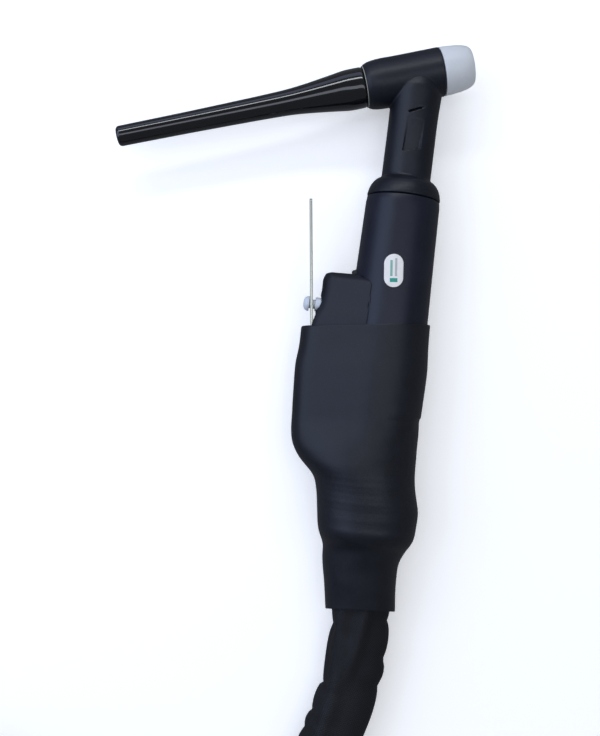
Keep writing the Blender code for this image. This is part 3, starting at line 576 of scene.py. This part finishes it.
def make_head():
    """Rubber-covered T head with its neck, moulded in one; then insulator and seat line."""
    barrel = ((0, HEAD_REAR), (9.0, HEAD_REAR), (9.5, -23.4), (10.0, -22.2), (10.4, -20.4), (10.65, -18.0),
              (10.75, -15.0), (10.6, -11.0), (10.6, HEAD_FRONT), (0, HEAD_FRONT))
    neck = ((0, -1.0), (8.6, -0.6), (9.4, 1.0), (10.17, 3.0), (10.75, 4.7), (11.1, 6.4), (11.15, 8.5),
            (11.0, 11.5), (10.8, 16.0), (10.7, 22.0), (10.75, 45.2), (11.0, 46.0), (11.7, 46.5),
            (12.8, 47.2), (13.9, 48.3), (14.8, 49.7), (15.5, 51.4), (15.9, 53.2), (16.05, SEAM - 0.4),
            (15.7, SEAM), (13.2, SEAM), (13.2, 64.0), (0, 64.0))
    base = turned_mesh("head", barrel, DATUM, NOZZLE, 128, 0)
    core = ((0, HEAD_REAR - 2), (6.6, HEAD_REAR - 2), (6.6, HEAD_FRONT + 2), (0, HEAD_FRONT + 2))
    channel = ((0, 3.0), (8.3, 3.0), (8.3, 70.0), (0, 70.0))
    off_centre = DATUM + Vector((0.03, 0, 0.02)) * MM  # keeps its facets out of line with the neck's
    steps = [
        ("UNION", turned_mesh("neck", neck, DATUM, DOWN, 128, 0)),
        ("DIFFERENCE", turned_mesh("core_space", core, DATUM, NOZZLE, 64, 0)),
        ("DIFFERENCE", turned_mesh("tube_channel", channel, off_centre, DOWN, 75, 0)),
        ("DIFFERENCE", neck_slit()),
        ("DIFFERENCE", neck_recess()),
    ]
    mesh = carved("head_rubber", base, steps, 0.30, 3)
    finish_object("head_rubber", mesh, "root", "silicone_rubber", ("head_rubber_body",), 60.0)
    insulator = ((6.6, HEAD_FRONT + 0.3), (10.55, HEAD_FRONT + 0.3), (10.3, 14.0), (9.9, 18.0), (9.5, 20.0),
                 (9.0, 21.6), (8.4, 22.8), (7.6, 23.6), (6.6, 23.6))
    turned("insulator", insulator, DATUM, NOZZLE, "root", "white_ptfe", ("front_insulator",), fillet=0.35)
    line = ((8.75, HEAD_REAR - 0.1), (8.9, HEAD_REAR - 0.3), (9.05, HEAD_REAR - 0.1), (8.9, HEAD_REAR + 0.1))
    turned("cap_seat_line", line, DATUM, NOZZLE, "root", "seat_line", fillet=0.1)


def neck_slit():
    """A thin wedge across the neck's top."""
    mesh = box_mesh("slit", (-3.7, -0.45, 8.9), (3.7, 0.45, 14.0), on_handle(0.3, 17.4, 0), 21.0)
    for vertex in mesh.vertices:
        if vertex.co.x > DATUM.x + 2 * MM and vertex.co.y < DATUM.y - 16.3 * MM:
            vertex.co.y += 0.45 * MM
    return mesh


def neck_recess():
    """A pocket whose floor follows the neck's roundness and slopes down towards the handle."""
    top, bottom = 21.2, 34.9
    rows, columns = 14, 12
    rings = []
    for row in range(rows + 1):
        share = row / rows
        depth = 0.12 + 1.15 * share ** 1.4
        floor, roof = [], []
        for column in range(columns + 1):
            side = column / columns
            x = -3.3 + 7.3 * side - 0.5 * share
            distance = top + (bottom - top) * share + 1.3 * (0.5 - side) * (2 * share - 0.6)
            floor.append(on_handle(x, distance, math.sqrt(10.75 ** 2 - x * x) - depth))
            roof.append(on_handle(x, distance, 14.0))
        rings.append(floor + roof[::-1])
    return grid_mesh("recess", rings)


def make_cap():
    """Glossy long back cap with its stepped bore."""
    rows = ((24.6, 8.35), (26.2, 8.75), (32.0, 8.7), (38.0, 7.9), (44.0, 7.1), (50.0, 6.35), (56.0, 5.75),
            (68.0, 5.25), (80.0, 5.0), (104.0, 4.65), (132.0, 4.45))
    places = np.linspace(26.2, 132.0, 90)
    radii = spline(rows, places)[0]
    nose = [(2.9 + 1.55 * math.cos(math.radians(a)), 133.45 + 1.55 * math.sin(math.radians(a)))
            for a in range(0, 91, 10)]
    outline = [(2.6, 31.6), (4.3, 31.6), (4.3, 24.6), (8.3, 24.6), (8.6, 24.9), (8.72, 25.6),
               *zip(radii, places), *nose, (0, 135.0)]
    inner = [(0, 131.0), (2.6, 131.0), *outline]
    turned("back_cap_skin", inner, DATUM, -NOZZLE, "cap", "gloss_phenolic", ("back_cap",), fillet=0)


def handle_radius(distance):
    """The handle's outer radius at a distance down the handle."""
    return float(spline(HANDLE_RADII, np.array([distance]))[0][0])


def make_handle():
    """Tapered grip tube and its sticker."""
    outer = [(handle_radius(d), d) for d in np.linspace(SEAM + 0.35, HANDLE_END - 1.5, 60)]
    outer[0] = (outer[0][0] - 0.25, outer[0][1])
    outline = [(13.6, SEAM + 0.35), *outer, (handle_radius(HANDLE_END) - 1.2, HANDLE_END), (13.6, HANDLE_END)]
    turned("handle_grip", outline, DATUM, DOWN, "root", "handle_plastic", ("handle_shell",), 160, 0.25)
    offset, middle = LABEL_PLACE
    lean = math.radians(LABEL_LEAN)
    radius = handle_radius(middle) + 0.4
    count, rows = 72, 10
    rings, face = [], []
    for low, level in ((True, 0.0), (False, 0.3)):
        for row in (range(1, rows + 1) if low else range(rows, 0, -1)):
            ring, flat = [], []
            for step in range(count):
                angle = math.tau * (step + 0.5) / count
                half = math.copysign(LABEL_STRAIGHT / 2, math.sin(angle))
                x, y = LABEL_RADIUS * math.cos(angle), LABEL_RADIUS * math.sin(angle) + half
                share = row / rows
                x, y = x * share, y * share
                flat.append((x, y))
                across = offset + x * math.cos(lean) - y * math.sin(lean)
                along = x * math.sin(lean) + y * math.cos(lean)
                edge = 0.06 if share > 0.98 and not low else 0.0
                reach = radius + level - edge
                ring.append(on_handle(across, middle - along, math.sqrt(reach ** 2 - across ** 2)))
            rings.append(ring)
            face.append(flat)
    mesh = grid_mesh("sticker", rings)
    layer = mesh.uv_layers.new(name="face")
    flat = np.array(face).reshape(-1, 2)
    for corner in mesh.loops:
        layer.data[corner.index].uv = flat[corner.vertex_index]
    finish_object("sticker", mesh, "root", "label_film", ("label_sticker",))


def hull_point(circles, angle):
    """The furthest point in one direction of the outline that wraps circles (x, z, radius)."""
    across, up = math.cos(angle), math.sin(angle)
    x, z, radius = max(circles, key=lambda c: c[0] * across + c[1] * up + c[2])
    return x + radius * across, z + radius * up


def hull_section(circles, count=180):
    """Evenly spaced points round the outline that wraps circles, from +x."""
    points = np.array([hull_point(circles, math.tau * step / 480) for step in range(480)])
    points = np.vstack([points, points[:1]])
    run = np.concatenate(([0.0], np.cumsum(np.linalg.norm(np.diff(points, axis=0), axis=1))))
    places = np.linspace(0, run[-1], count, endpoint=False)
    return np.stack([np.interp(places, run, points[:, axis]) for axis in (0, 1)], axis=1)


def boot_section(distance, reach):
    """A crescent round the housing's outer side and back along the handle's surface."""
    inner = handle_radius(distance) + 0.12
    wing = BOOT_WING + (0.25 - BOOT_WING) * float(smoothstep(distance, BOOT_WING_END - 1, BOOT_WING_END + 1))
    outer = inner + wing
    edge = min(BOOT_EDGE_RADIUS, 2.2 + 3.0 * (distance - 89.0))
    circles = [(0, 0, outer), (reach + edge, 0, edge)]
    edge_x = BOOT_WING_EDGE - 5.5 * float(smoothstep(95.0 - distance, 0, 4.6)) ** 1.5
    start = math.acos(edge_x / outer)
    ring = [hull_point(circles, start + (math.tau - 2 * start) * step / 110) for step in range(111)]
    start = math.acos(edge_x / inner)
    ring += [(inner * math.cos(a), inner * math.sin(a))
             for a in [math.tau - start - (math.tau - 2 * start) * step / 60 for step in range(61)]]
    return [on_handle(x, distance, z) for x, z in ring]


def make_boot():
    """Moulded switch boot that hugs the handle."""
    places = np.arange(90.4, 170.01, 0.6)
    reaches = spline(BOOT_OUTLINE, places)[0]
    base = grid_mesh("boot", [boot_section(d, r) for d, r in zip(places, reaches)])
    lean = lamella_lean()
    pivot = on_handle(*LAMELLA_PIVOT, 0)
    stud = ((0, -40.0), (3.9, -40.0), (3.9, -28.5), (1.7, -28.5), (1.7, -27.0), (0, -27.0))
    steps = [
        ("DIFFERENCE", box_mesh("lamella_slot", (-1.5, -5.5, -4.4), (1.7, 10.5, 4.4), pivot, lean)),
        ("DIFFERENCE", box_mesh("switch_pocket", (-27.8, -118.6, -3.5), (-20.6, -97.4, 3.5), DATUM)),
        ("DIFFERENCE", box_mesh("wire_channel", (-27.0, -175.0, -3.0), (-21.8, -118.0, 3.0), DATUM)),
        ("DIFFERENCE", turned_mesh("stud_hole", stud, on_handle(0, STUD_PLACE, 0), (1, 0, 0), 48, 0)),
    ]
    mesh = carved("boot_skin", base, steps, 0.34, 4)
    finish_object("boot_skin", mesh, "root", "boot_rubber", ("switch_boot",), 60.0)
    tab = box_mesh("boot_tab", (-1.3, -1.1, -3.0), (0.9, 0.9, 3.0), on_handle(-17.0, 88.9, 0), 25.0)
    finish_object("boot_tab", carved("boot_tab", tab, [], 0.2, 4), "root", "o_ring_rubber")


def lamella_lean():
    """How far the strip leans from +Y towards -X, in degrees."""
    return math.degrees(math.atan2(LAMELLA_FOOT[0] - LAMELLA_TOP[0], LAMELLA_FOOT[1] - LAMELLA_TOP[1]))


def make_trigger():
    """Spring strip with its rounded top and the press stud."""
    lean = math.radians(lamella_lean())
    foot = math.hypot(LAMELLA_PIVOT[0] - LAMELLA_FOOT[0], LAMELLA_PIVOT[1] - LAMELLA_FOOT[1])
    length = math.hypot(LAMELLA_TOP[0] - LAMELLA_FOOT[0], LAMELLA_TOP[1] - LAMELLA_FOOT[1])
    pivot = on_handle(*LAMELLA_PIVOT, 0)
    along = Vector((-math.sin(lean), math.cos(lean), 0))
    across = Vector((math.cos(lean), math.sin(lean), 0))
    rings = []
    for place in np.concatenate(([-foot, -foot + 0.15], np.linspace(-foot + 0.4, length - foot - 4.0, 60),
                                 np.linspace(length - foot - 3.9, length - foot, 24))):
        over = max(place - (length - foot - 1.5), 0.0)
        half = 4.0 - 1.5 + math.sqrt(max(1.5 ** 2 - over ** 2, 0.0))
        ring = []
        for x, z in filleted_rectangle(0.575, half, 0.28):
            ring.append(pivot + along * (place * MM) + across * (x * MM) + UP * (z * MM))
        rings.append(ring)
    mesh = grid_mesh("strip", rings)
    finish_object("strip", mesh, "trigger", "spring_steel", ("lamella",), 50.0)
    face = -38.0
    outline = ((0, face), (1.6, face + 0.15), (2.7, face + 0.7), (3.25, face + 1.7), (3.25, face + 2.6),
               (2.0, face + 2.6), (2.0, face + 5.2), (3.1, face + 5.2), (3.1, face + 7.6),
               (2.7, face + 8.2), (0, face + 8.2))
    turned("stud", outline, on_handle(0, STUD_PLACE, 0), (1, 0, 0), "trigger", "stud_plastic",
           ("press_stud",), 64, 0.25)


def filleted_rectangle(half_width, half_height, radius, steps=4):
    """Points round a rectangle with rounded corners."""
    points = []
    for sx, sy, start in ((1, 1, 0), (-1, 1, 90), (-1, -1, 180), (1, -1, 270)):
        for step in range(steps + 1):
            angle = math.radians(start + 90 * step / steps)
            points.append((sx * (half_width - radius) + radius * math.cos(angle),
                           sy * (half_height - radius) + radius * math.sin(angle)))
    return points


def sleeve_section(distance, left, right, high, inset):
    """One section of the sleeve, in (x, z) from the handle's axis."""
    edge = SLEEVE_BOOT_RADIUS
    housing = hull_section([(0, 0, right - inset), (left + edge, 0, edge - inset)])
    round_one = hull_section([((left + right) / 2, 0, (right - left) / 2 - inset)])
    merge = float(smoothstep(distance, *SLEEVE_MERGE))
    section = housing * (1 - merge) + round_one * merge
    radius = right * (1 - merge) + (right - left) / 2 * merge
    low = DATUM.z / MM
    for _ in range(SLEEVE_SMOOTHING):
        section = 0.5 * section + 0.25 * (np.roll(section, 1, axis=0) + np.roll(section, -1, axis=0))
    wide, tall = np.ptp(section, axis=0)
    middle = (section.max(axis=0) + section.min(axis=0)) / 2
    section = (section - middle) * ((right - left - 2 * inset) / wide, 2 * (radius - inset) / tall)
    section[:, 0] += (left + right) / 2
    past = float(smoothstep(distance, *SLEEVE_SETTLE))
    deep = min(high, low) * (1 - past) + low * past
    section[:, 1] = section[:, 1] * ((high + deep) / 2 - inset) / (radius - inset) + (high - deep) / 2
    section[:, 1] = np.maximum(section[:, 1], inset - low)
    return section


def make_sleeve():
    """Heat-shrink sleeve with its shrink rings, the crease at the handle's end and a cut lower rim."""
    first, last = SLEEVE_OUTLINE[0][0], SLEEVE_OUTLINE[-1][0]
    places = np.concatenate((np.linspace(first, first + 1.2, 7), np.arange(first + 1.7, last - 0.8, 0.55),
                             np.linspace(last - 0.7, last, 5)))
    lefts, rights = [softened(places, values, 2.2) for values in spline(SLEEVE_OUTLINE, places)]
    highs = softened(places, spline(SLEEVE_TOP_LINE, places)[0], 1.2)
    skins = []
    for inset in (0.0, SLEEVE_WALL):
        rings = []
        for distance, left, right, high in zip(places, lefts, rights, highs):
            section = sleeve_section(distance, left, right, high, inset)
            if inset == 0.0:
                section = section + sleeve_relief(distance, section)
                rim = 0.2 * (bump(distance, first, 0.25) + bump(distance, last, 0.2))
                section = section * (1 - rim / 18.0)
            slant = 0.128 * (1 - smoothstep(distance, first, first + 30.0))
            slant = slant + 0.078 * smoothstep(distance, last - 20.0, last)
            lean = 0.25 * float(smoothstep(distance, last - 16.0, last))
            rings.append([on_handle(x, distance - slant * x - lean * (z + 4.0), z) for x, z in section])
        skins.append(rings)
    mesh = grid_mesh("sleeve", skins[0] + skins[1][::-1], loop=True)
    finish_object("sleeve", mesh, "root", "sleeve_rubber", ("heat_shrink_sleeve",), 50.0)


def sleeve_relief(distance, section):
    """How far creases and shrink rings move each outer point, in (x, z)."""
    x, z = section[:, 0], section[:, 1]
    upper = smoothstep(z, 2.0, 10.0)
    push = np.zeros(len(x))
    slope = distance + 0.05 * x
    for place, width, height in SHRINK_RINGS:
        push += height * bump(slope, place, width) * upper
    step = CREASE_PLACE - 0.03 * x
    across = smoothstep(x, -18.0, -6.0) * (1 - smoothstep(x, 15.0, 21.0))
    fall = smoothstep(distance - step, -2.4, 1.8) * (1 - smoothstep(distance - step, 2.0, 24.0))
    push += (0.2 * bump(distance, step - 3.8, 2.6) - 0.35 * fall) * across * smoothstep(z, -2.0, 12.0)
    push -= 0.10 * bump(distance, 150.5 + 0.02 * x, 0.7) * smoothstep(x, 2.0, 6.0)
    push += 0.14 * bump(distance, 147.5, 2.0) * bump(x, 7.5, 3.5) * upper
    ledge = smoothstep(distance, 148.6, 149.6) * (1 - smoothstep(distance, 150.5, 158.0))
    push -= 0.45 * ledge * smoothstep(x, 14.0, 18.0)
    push += 0.02 * np.sin(distance * 0.55 + x * 0.2) * np.sin(distance * 0.17 + 1.0) * upper
    lengths = np.maximum(np.hypot(x, z), 1.0)
    return np.stack([push * x / lengths, push * z / lengths], axis=1)


# --- hose package


def tube_mesh(name, path, shape, around, weave=None):
    """A skin along a path in metres; shape(run, angles) gives the radii in millimetres."""
    path = np.asarray(path, float)
    steps = np.gradient(path, axis=0)
    steps /= np.linalg.norm(steps, axis=1)[:, None]
    run = np.concatenate(([0.0], np.cumsum(np.linalg.norm(np.diff(path, axis=0), axis=1)))) / MM
    angles = np.linspace(0, math.tau, around, endpoint=False)
    rings = []
    for place, direction, at in zip(path, steps, run):
        side = np.cross(direction, (0, 0, 1.0))
        side /= np.linalg.norm(side)
        top = np.cross(side, direction)
        radii = shape(at, angles) * MM
        rings.append(place + np.outer(radii * np.cos(angles), side) + np.outer(radii * np.sin(angles), top))
    return grid_mesh(name, rings, uv=(weave, run / 1.2) if weave else None)


def jacket_path():
    """The centreline of the hose package, from inside the sleeve round the coil to the splitter."""
    lead = smooth_route([tuple(on_floor(*point)) for point in LEAD_ROUTE])
    lead = resampled(lead, 0.003)
    start = [index for index, point in enumerate(lead) if point[1] < DATUM.y - JACKET_START * MM][0]
    half = JACKET_DIAMETER / 2
    outer, inner = COIL_OUTER - half, COIL_INNER + half
    low, high = COIL_BASE + half, COIL_BASE + COIL_HEIGHT - half
    turn = np.arange(0.0, 1440.0 - JACKET_END + 0.01, 1.0)
    radius = outer + (inner - outer) * smoothstep(turn, 580.0, 630.0)
    radius = radius + (INNER_TURN_RADIUS - inner) * smoothstep(turn, 1200.0, 1250.0)
    height = low + (high - low) * (smoothstep(turn, 270.0, 320.0) - smoothstep(turn, 890.0, 940.0))
    height = height + (half + 0.1 - low) * smoothstep(turn, 1200.0, 1250.0)
    angle = np.radians(-turn)
    coil = [tuple(by_coil(r * math.cos(a), r * math.sin(a), z)) for r, a, z in zip(radius, angle, height)]
    return resampled(np.vstack([lead[start:], coil]), 0.002)


def tuck_places(first, spacing, swing):
    """Where the cover tucks in along the hose package: the seen ones, then an uneven run of them."""
    places = list(first)
    while places[-1] < JACKET_LENGTH / MM + 100.0:
        places.append(places[-1] + spacing + swing * math.sin(2.3 * len(places)))
    return np.array(places)


def puffed(run, tucks):
    """0 at each tuck and 1 midway between two."""
    spot = int(np.searchsorted(tucks, run)) - 1
    spot = min(max(spot, 0), len(tucks) - 2)
    t = min(max((run - tucks[spot]) / (tucks[spot + 1] - tucks[spot]), 0.0), 1.0)
    t = t ** 0.8
    return (4 * t * (1 - t)) ** 0.6


LEFT_TUCKS = tuck_places((-14.0, 18.9, 48.0, 62.6, 70.5), 21.0, 6.0)
RIGHT_TUCKS = tuck_places((-10.0, 14.6, 31.4, 41.5, 82.0), 19.0, 5.0)


def ridge_at(angles, centre, width):
    """A soft ridge along one side of the hose package."""
    offset = (angles - centre + math.pi) % math.tau - math.pi
    return bump(offset, 0.0, width)


def jacket_radii(run, angles):
    """Hoses under the cover push it out in ridges, and it tucks in between its puffed lengths."""
    seen = run - 7.0
    near = 1.0 - float(smoothstep(seen, 45.0, 90.0))
    radii = np.full(len(angles), 11.7 - 0.75 * near)
    second = 1.0 - float(smoothstep(seen, 16.0, 40.0))
    radii += near * (2.6 * ridge_at(angles, 0.72 + 0.005 * seen, 0.26)
                     + 2.6 * second * ridge_at(angles, 1.70 - 0.012 * seen, 0.24)
                     + 0.9 * ridge_at(angles, 2.75, 0.5))
    turn = (seen - 60.0) / 260.0 * math.tau
    radii += (1.0 - near) * 0.75 * np.abs(np.cos(2.5 * (angles - turn)))
    side = np.cos(angles)
    radii += (1.0 + 1.2 * near) * puffed(run, LEFT_TUCKS) * np.clip(side, 0, 1) ** 1.3
    radii += (0.8 + 1.2 * near) * puffed(run, RIGHT_TUCKS) * np.clip(-side, 0, 1) ** 1.3
    return np.clip(radii, 10.4, 13.25 + 0.55 * near)


def make_jacket():
    """Textile-covered hose package with its splitter boot."""
    path = jacket_path()
    mesh = tube_mesh("hose_package", path, jacket_radii, 56, weave=64)
    jacket = finish_object("hose_package", mesh, "root", "jacket_textile",
                           ("cable_jacket_lead", "cable_jacket_coil", "cable_jacket_inner"), 80.0)
    angles = np.linspace(JACKET_END + 1.5, SPLITTER_END, 60)
    radius = INNER_TURN_RADIUS - 0.6
    cuff = [tuple(by_coil(radius * math.cos(a), radius * math.sin(a), 14.2)) for a in np.radians(angles)]

    def cuff_radii(run, ring_angles):
        size = 13.7 + 0.25 * float(bump(run, 2.5, 1.6)) - 0.6 * float(smoothstep(run, 20.0, 32.0))
        size -= 1.2 * float(smoothstep(1.2 - run, 0.0, 1.2)) + 2.4 * float(smoothstep(run, 30.6, 32.8))
        size += 0.22 * math.sin(run * 1.9) * float(bump(run, 12.0, 7.0))
        return np.full(len(ring_angles), size)

    mesh = tube_mesh("splitter_boot", cuff, cuff_radii, 72)
    splitter = finish_object("splitter_boot", mesh, "root", "sleeve_rubber", ("jacket_splitter",), 50.0)


def make_ties():
    """Hook-and-loop webbing round the coil."""
    middle_x, middle_z = (COIL_INNER + COIL_OUTER) / 2, COIL_BASE + COIL_HEIGHT / 2
    half_x, half_z = (COIL_OUTER - COIL_INNER) / 2 + 0.5, COIL_HEIGHT / 2

    def turn_of_webbing(side, grow, corner):
        return [(middle_x + x, side * TIE_WIDTH / 2, middle_z + z)
                for x, z in filleted_rectangle(half_x + grow, half_z + grow, corner, 14)]

    rings = [turn_of_webbing(side, 1.35 - 0.12 * (abs(side) > 0.99), 10.5) for side in np.linspace(-1, 1, 15)]
    rings += [turn_of_webbing(side, 0.25, 9.5) for side in np.linspace(1, -1, 5)]
    for number, angle in enumerate(TIE_ANGLES, 1):
        turn = Matrix.Rotation(math.radians(angle), 3, "Z")
        placed = [[by_coil(*(turn @ Vector(point))) for point in ring] for ring in rings]
        mesh = grid_mesh(f"webbing_{number}", placed, loop=True)
        finish_object(f"webbing_{number}", mesh, "root", "tie_webbing", (f"coil_tie_{number}",), 50.0)


def tail(name, route, radius, node):
    """A free hose or lead from the splitter to its connector."""
    path = resampled(smooth_route([tuple(by_coil(*point)) for point in route]), 0.0015)
    mesh = tube_mesh(name, path, lambda run, angles: np.full(len(angles), radius), 32)
    hose = finish_object(name, mesh, "root", "hose_rubber", (node,), 50.0)


def ridged(starts, first, second, rises):
    """Rows of small ridges for an outline: two radii, and how far up each ridge's corners are."""
    return [(radius, start + rise) for start in starts
            for radius, rise in zip((first, second, second, first), (0.0, *rises))]


def make_power_end():
    """Power plug: ribbed boot, contact pin and the water return's nipple."""
    place = by_coil(*POWER_ROUTE[-1])
    boot = [(0, 0.3), (8.5, 0.3), (10.5, 8.0), (12.5, 20.0), (14.0, 27.0)]
    boot += ridged((44.0, 48.0, 52.0), 14.0, 13.3, (0.6, 1.8, 2.4))
    boot += [(14.0, 58.0), (13.0, 60.0), (8.5, 60.0), (8.5, 50.0), (0, 50.0)]
    shell = turned("plug_boot", boot, place, DOWN, "root", "hose_rubber", ("power_plug_boot",), fillet=0.4)
    pin = ((0, 50.4), (8.0, 50.4), (8.0, 62.0), (6.5, 62.6), (6.5, 84.0), (5.6, 86.0), (0, 86.0))
    contact = turned("contact_pin", pin, place, DOWN, "root", "brass", ("power_plug_pin",), fillet=0.35)
    nipple = ((0, 13.6), (4.6, 13.6), (5.4, 14.6), (5.4, 19.0), (3.6, 19.6), (3.6, 21.5), (4.3, 22.0),
              (3.4, 25.0), (2.0, 25.0), (2.0, 14.4), (0, 14.4))
    outlet = turned("return_nipple", nipple, place + DOWN * (36.0 * MM), UP, "root", "plated_steel",
                    ("power_return_nipple",), fillet=0.25)
    tail("power_hose", POWER_ROUTE, 6.5, "power_tail")


def make_gas_end():
    """Gas hose end: crimp, nipple and the union nut that turns."""
    place = by_coil(*GAS_ROUTE[-1])
    crimp = [(4.6, -9.0), (5.6, -9.0), *ridged((-7.6, -5.2, -2.8), 5.9, 5.6, (0.5, 1.2, 1.7)),
             (5.9, -0.3), (4.6, -0.3)]
    sleeve = turned("gas_sleeve", crimp, place, DOWN, "root", "brass", ("gas_crimp",), fillet=0.15)
    stem = ((0, 0.3), (4.0, 0.3), (4.0, 9.6), (7.2, 9.6), (7.2, 11.4), (3.2, 14.6), (1.8, 14.6),
            (1.8, 3.0), (0, 3.0))
    cone = turned("gas_stem", stem, place, DOWN, "root", "brass", ("gas_nipple",), fillet=0.2)
    middle = place + DOWN * (14.0 * MM)
    hexagon = turned_mesh("hexagon", ((0, -8.0), (10.74, -8.0), (10.74, 8.0), (0, 8.0)), middle, DOWN, 6, 0)
    dome = ((0, -8.0), (9.2, -8.0), (10.8, -7.0), (10.8, 7.0), (9.2, 8.0), (0, 8.0))
    hole = [(0, -10.0), (4.4, -10.0), (4.4, -4.7), (7.6, -4.7)]
    for start in np.arange(-2.0, 7.0, 1.5):
        hole += [(7.6, start), (8.0, start + 0.4), (7.6, start + 0.8)]
    hole += [(7.6, 10.0), (0, 10.0)]
    steps = [("INTERSECT", turned_mesh("dome", dome, middle, DOWN, 96, 0)),
             ("DIFFERENCE", turned_mesh("thread", hole, middle, DOWN, 72, 0))]
    mesh = carved("union_nut", hexagon, steps, 0.22, 1)
    nut = finish_object("union_nut", mesh, "gas_nut", "brass", ("gas_union_nut",), 40.0)
    tail("gas_line", GAS_ROUTE, 4.5, "gas_tail")


def make_water_end():
    """Water hose end: crimp and quick-coupling nipple."""
    place = by_coil(*WATER_ROUTE[-1])
    crimp = [(5.2, -10.0), (6.2, -10.0), *ridged((-8.6, -6.0, -3.4), 6.6, 6.2, (0.5, 1.4, 1.9)),
             (6.6, -0.3), (5.2, -0.3)]
    sleeve = turned("water_sleeve", crimp, place, DOWN, "root", "plated_steel", ("water_crimp",), fillet=0.15)
    nipple = ((0, 0.3), (7.3, 0.3), (7.3, 8.0), (5.0, 8.6), (5.0, 14.0), (6.2, 14.8), (6.2, 18.0),
              (4.6, 19.4), (4.6, 26.0), (1.9, 26.0), (1.9, 4.0), (0, 4.0))
    coupling = turned("water_nipple", nipple, place, DOWN, "root", "plated_steel",
                      ("water_coupling_nipple",))
    tail("water_line", WATER_ROUTE, 5.0, "water_tail")


def make_control_end():
    """Control lead's round plug: body, contact insert with pins, and its coupling ring."""
    place = by_coil(*CONTROL_ROUTE[-1])
    body = ((0, 0.3), (4.4, 0.3), (5.4, 3.0), (5.4, 9.0), (8.2, 12.0), (8.2, 30.0), (7.0, 30.6), (7.0, 46.0),
            (6.0, 46.0), (6.0, 33.0), (0, 33.0))
    shell = turned("plug_shell", body, place, DOWN, "root", "plated_steel", ("control_plug_body",),
                   fillet=0.25)
    disc = ((0, 33.3), (5.7, 33.3), (5.7, 35.0), (0, 35.0))
    insert = turned_mesh("plug_insert", disc, place, DOWN, 64, 0.2)
    face = finish_object("plug_insert", insert, "root", "switch_plastic", ("control_plug_insert",))
    for number in range(5):
        angle = math.radians(54 + 72 * number)
        spot = place + Vector((3.4 * math.cos(angle), 0, 3.4 * math.sin(angle))) * MM
        outline = ((0, 34.0), (0.6, 34.0), (0.6, 40.2), (0.3, 40.5), (0, 40.5))
        turned(f"plug_pin_{number + 1}", outline, spot, DOWN, "root", "brass", segments=20,
                             fillet=0.1)
    middle = place + DOWN * (28.0 * MM)
    ring = [(8.5, -7.0), (9.5, -6.6), *ridged(np.arange(-5.4, 6.0, 1.5), 9.9, 9.55, (0.35, 0.75, 1.1)),
            (9.9, 8.0), (9.3, 8.8), (7.4, 8.8), (7.4, 3.2), (8.5, 2.6)]
    collar = turned("plug_collar", ring, middle, DOWN, "plug_ring", "plated_steel", ("control_plug_ring",),
                    fillet=0.15)
    tail("control_lead", CONTROL_ROUTE, 3.0, "control_tail")


# --- stage


def make_camera():
    """The photographer's place above the torch."""
    data = bpy.data.cameras.new("camera")
    data.lens = CAMERA_LENS
    camera = bpy.data.objects.new("camera", data)
    bpy.context.collection.objects.link(camera)
    camera.location = DATUM + Vector(CAMERA_OFFSET) * MM
    camera.rotation_euler = (0, 0, math.radians(CAMERA_ROLL))
    bpy.context.scene.camera = camera


def area_light(name, place, target, size, power, colour):
    """A soft rectangular lamp that faces a point."""
    data = bpy.data.lights.new(name, "AREA")
    data.shape = "RECTANGLE"
    data.size, data.size_y = size
    data.energy = power
    data.color = colour
    lamp = bpy.data.objects.new(name, data)
    bpy.context.collection.objects.link(lamp)
    lamp.location = place
    lamp.rotation_euler = (Vector(target) - Vector(place)).to_track_quat("-Z", "Y").to_euler()
    return lamp


def make_stage():
    """Plain pale floor and soft studio light."""
    world = bpy.data.worlds.new("studio")
    world.use_nodes = True
    sky = world.node_tree.nodes["Background"].inputs
    sky["Color"].default_value = WORLD_COLOUR
    sky["Strength"].default_value = WORLD_STRENGTH
    bpy.context.scene.world = world
    corners = [(x * FLOOR_HALF, y * FLOOR_HALF) for x, y in ((-1, -1), (1, -1), (1, 1), (-1, 1))]
    floor_mesh = grid_mesh("floor", [[(x, y, z) for x, y in corners] for z in (FLOOR_TOP, -0.02)])
    floor = bpy.data.objects.new("floor", floor_mesh)
    bpy.context.collection.objects.link(floor)
    paper = bpy.data.materials.new("floor_paper")
    paper.use_nodes = True
    surface = paper.node_tree.nodes["Principled BSDF"].inputs
    for key, value in (("Base Color", FLOOR_COLOUR), ("Roughness", 0.9), ("Emission Color", (1, 1, 1, 1)),
                       ("Emission Strength", FLOOR_GLOW)):
        surface[key].default_value = value
    floor_mesh.materials.append(paper)
    floor.visible_glossy = False
    for name, place, target, size, power, colour in LAMPS:
        lamp = area_light(name, DATUM + Vector(place), DATUM + Vector(target), size, power, colour)
        lamp.visible_glossy = name not in HIDDEN_IN_GLOSS
    bpy.context.scene.view_settings.view_transform = "Standard"


def dress_frame():
    """Gives each CAD node its slot's finish."""
    slots = {piece["node"]: piece["material_slot"] for piece in frame["record"]["subparts"]}
    for name, thing in frame["nodes"].items():
        thing.data.materials.clear()
        thing.data.materials.append(FINISHES[slots[name]])


def build():
    """Camera and cords first, then the torch."""
    make_camera()
    make_finishes()
    make_jacket()
    make_power_end()
    make_gas_end()
    make_water_end()
    make_control_end()
    make_ties()
    make_head()
    make_cap()
    make_handle()
    make_boot()
    make_trigger()
    make_sleeve()
    dress_frame()
    make_stage()


build()
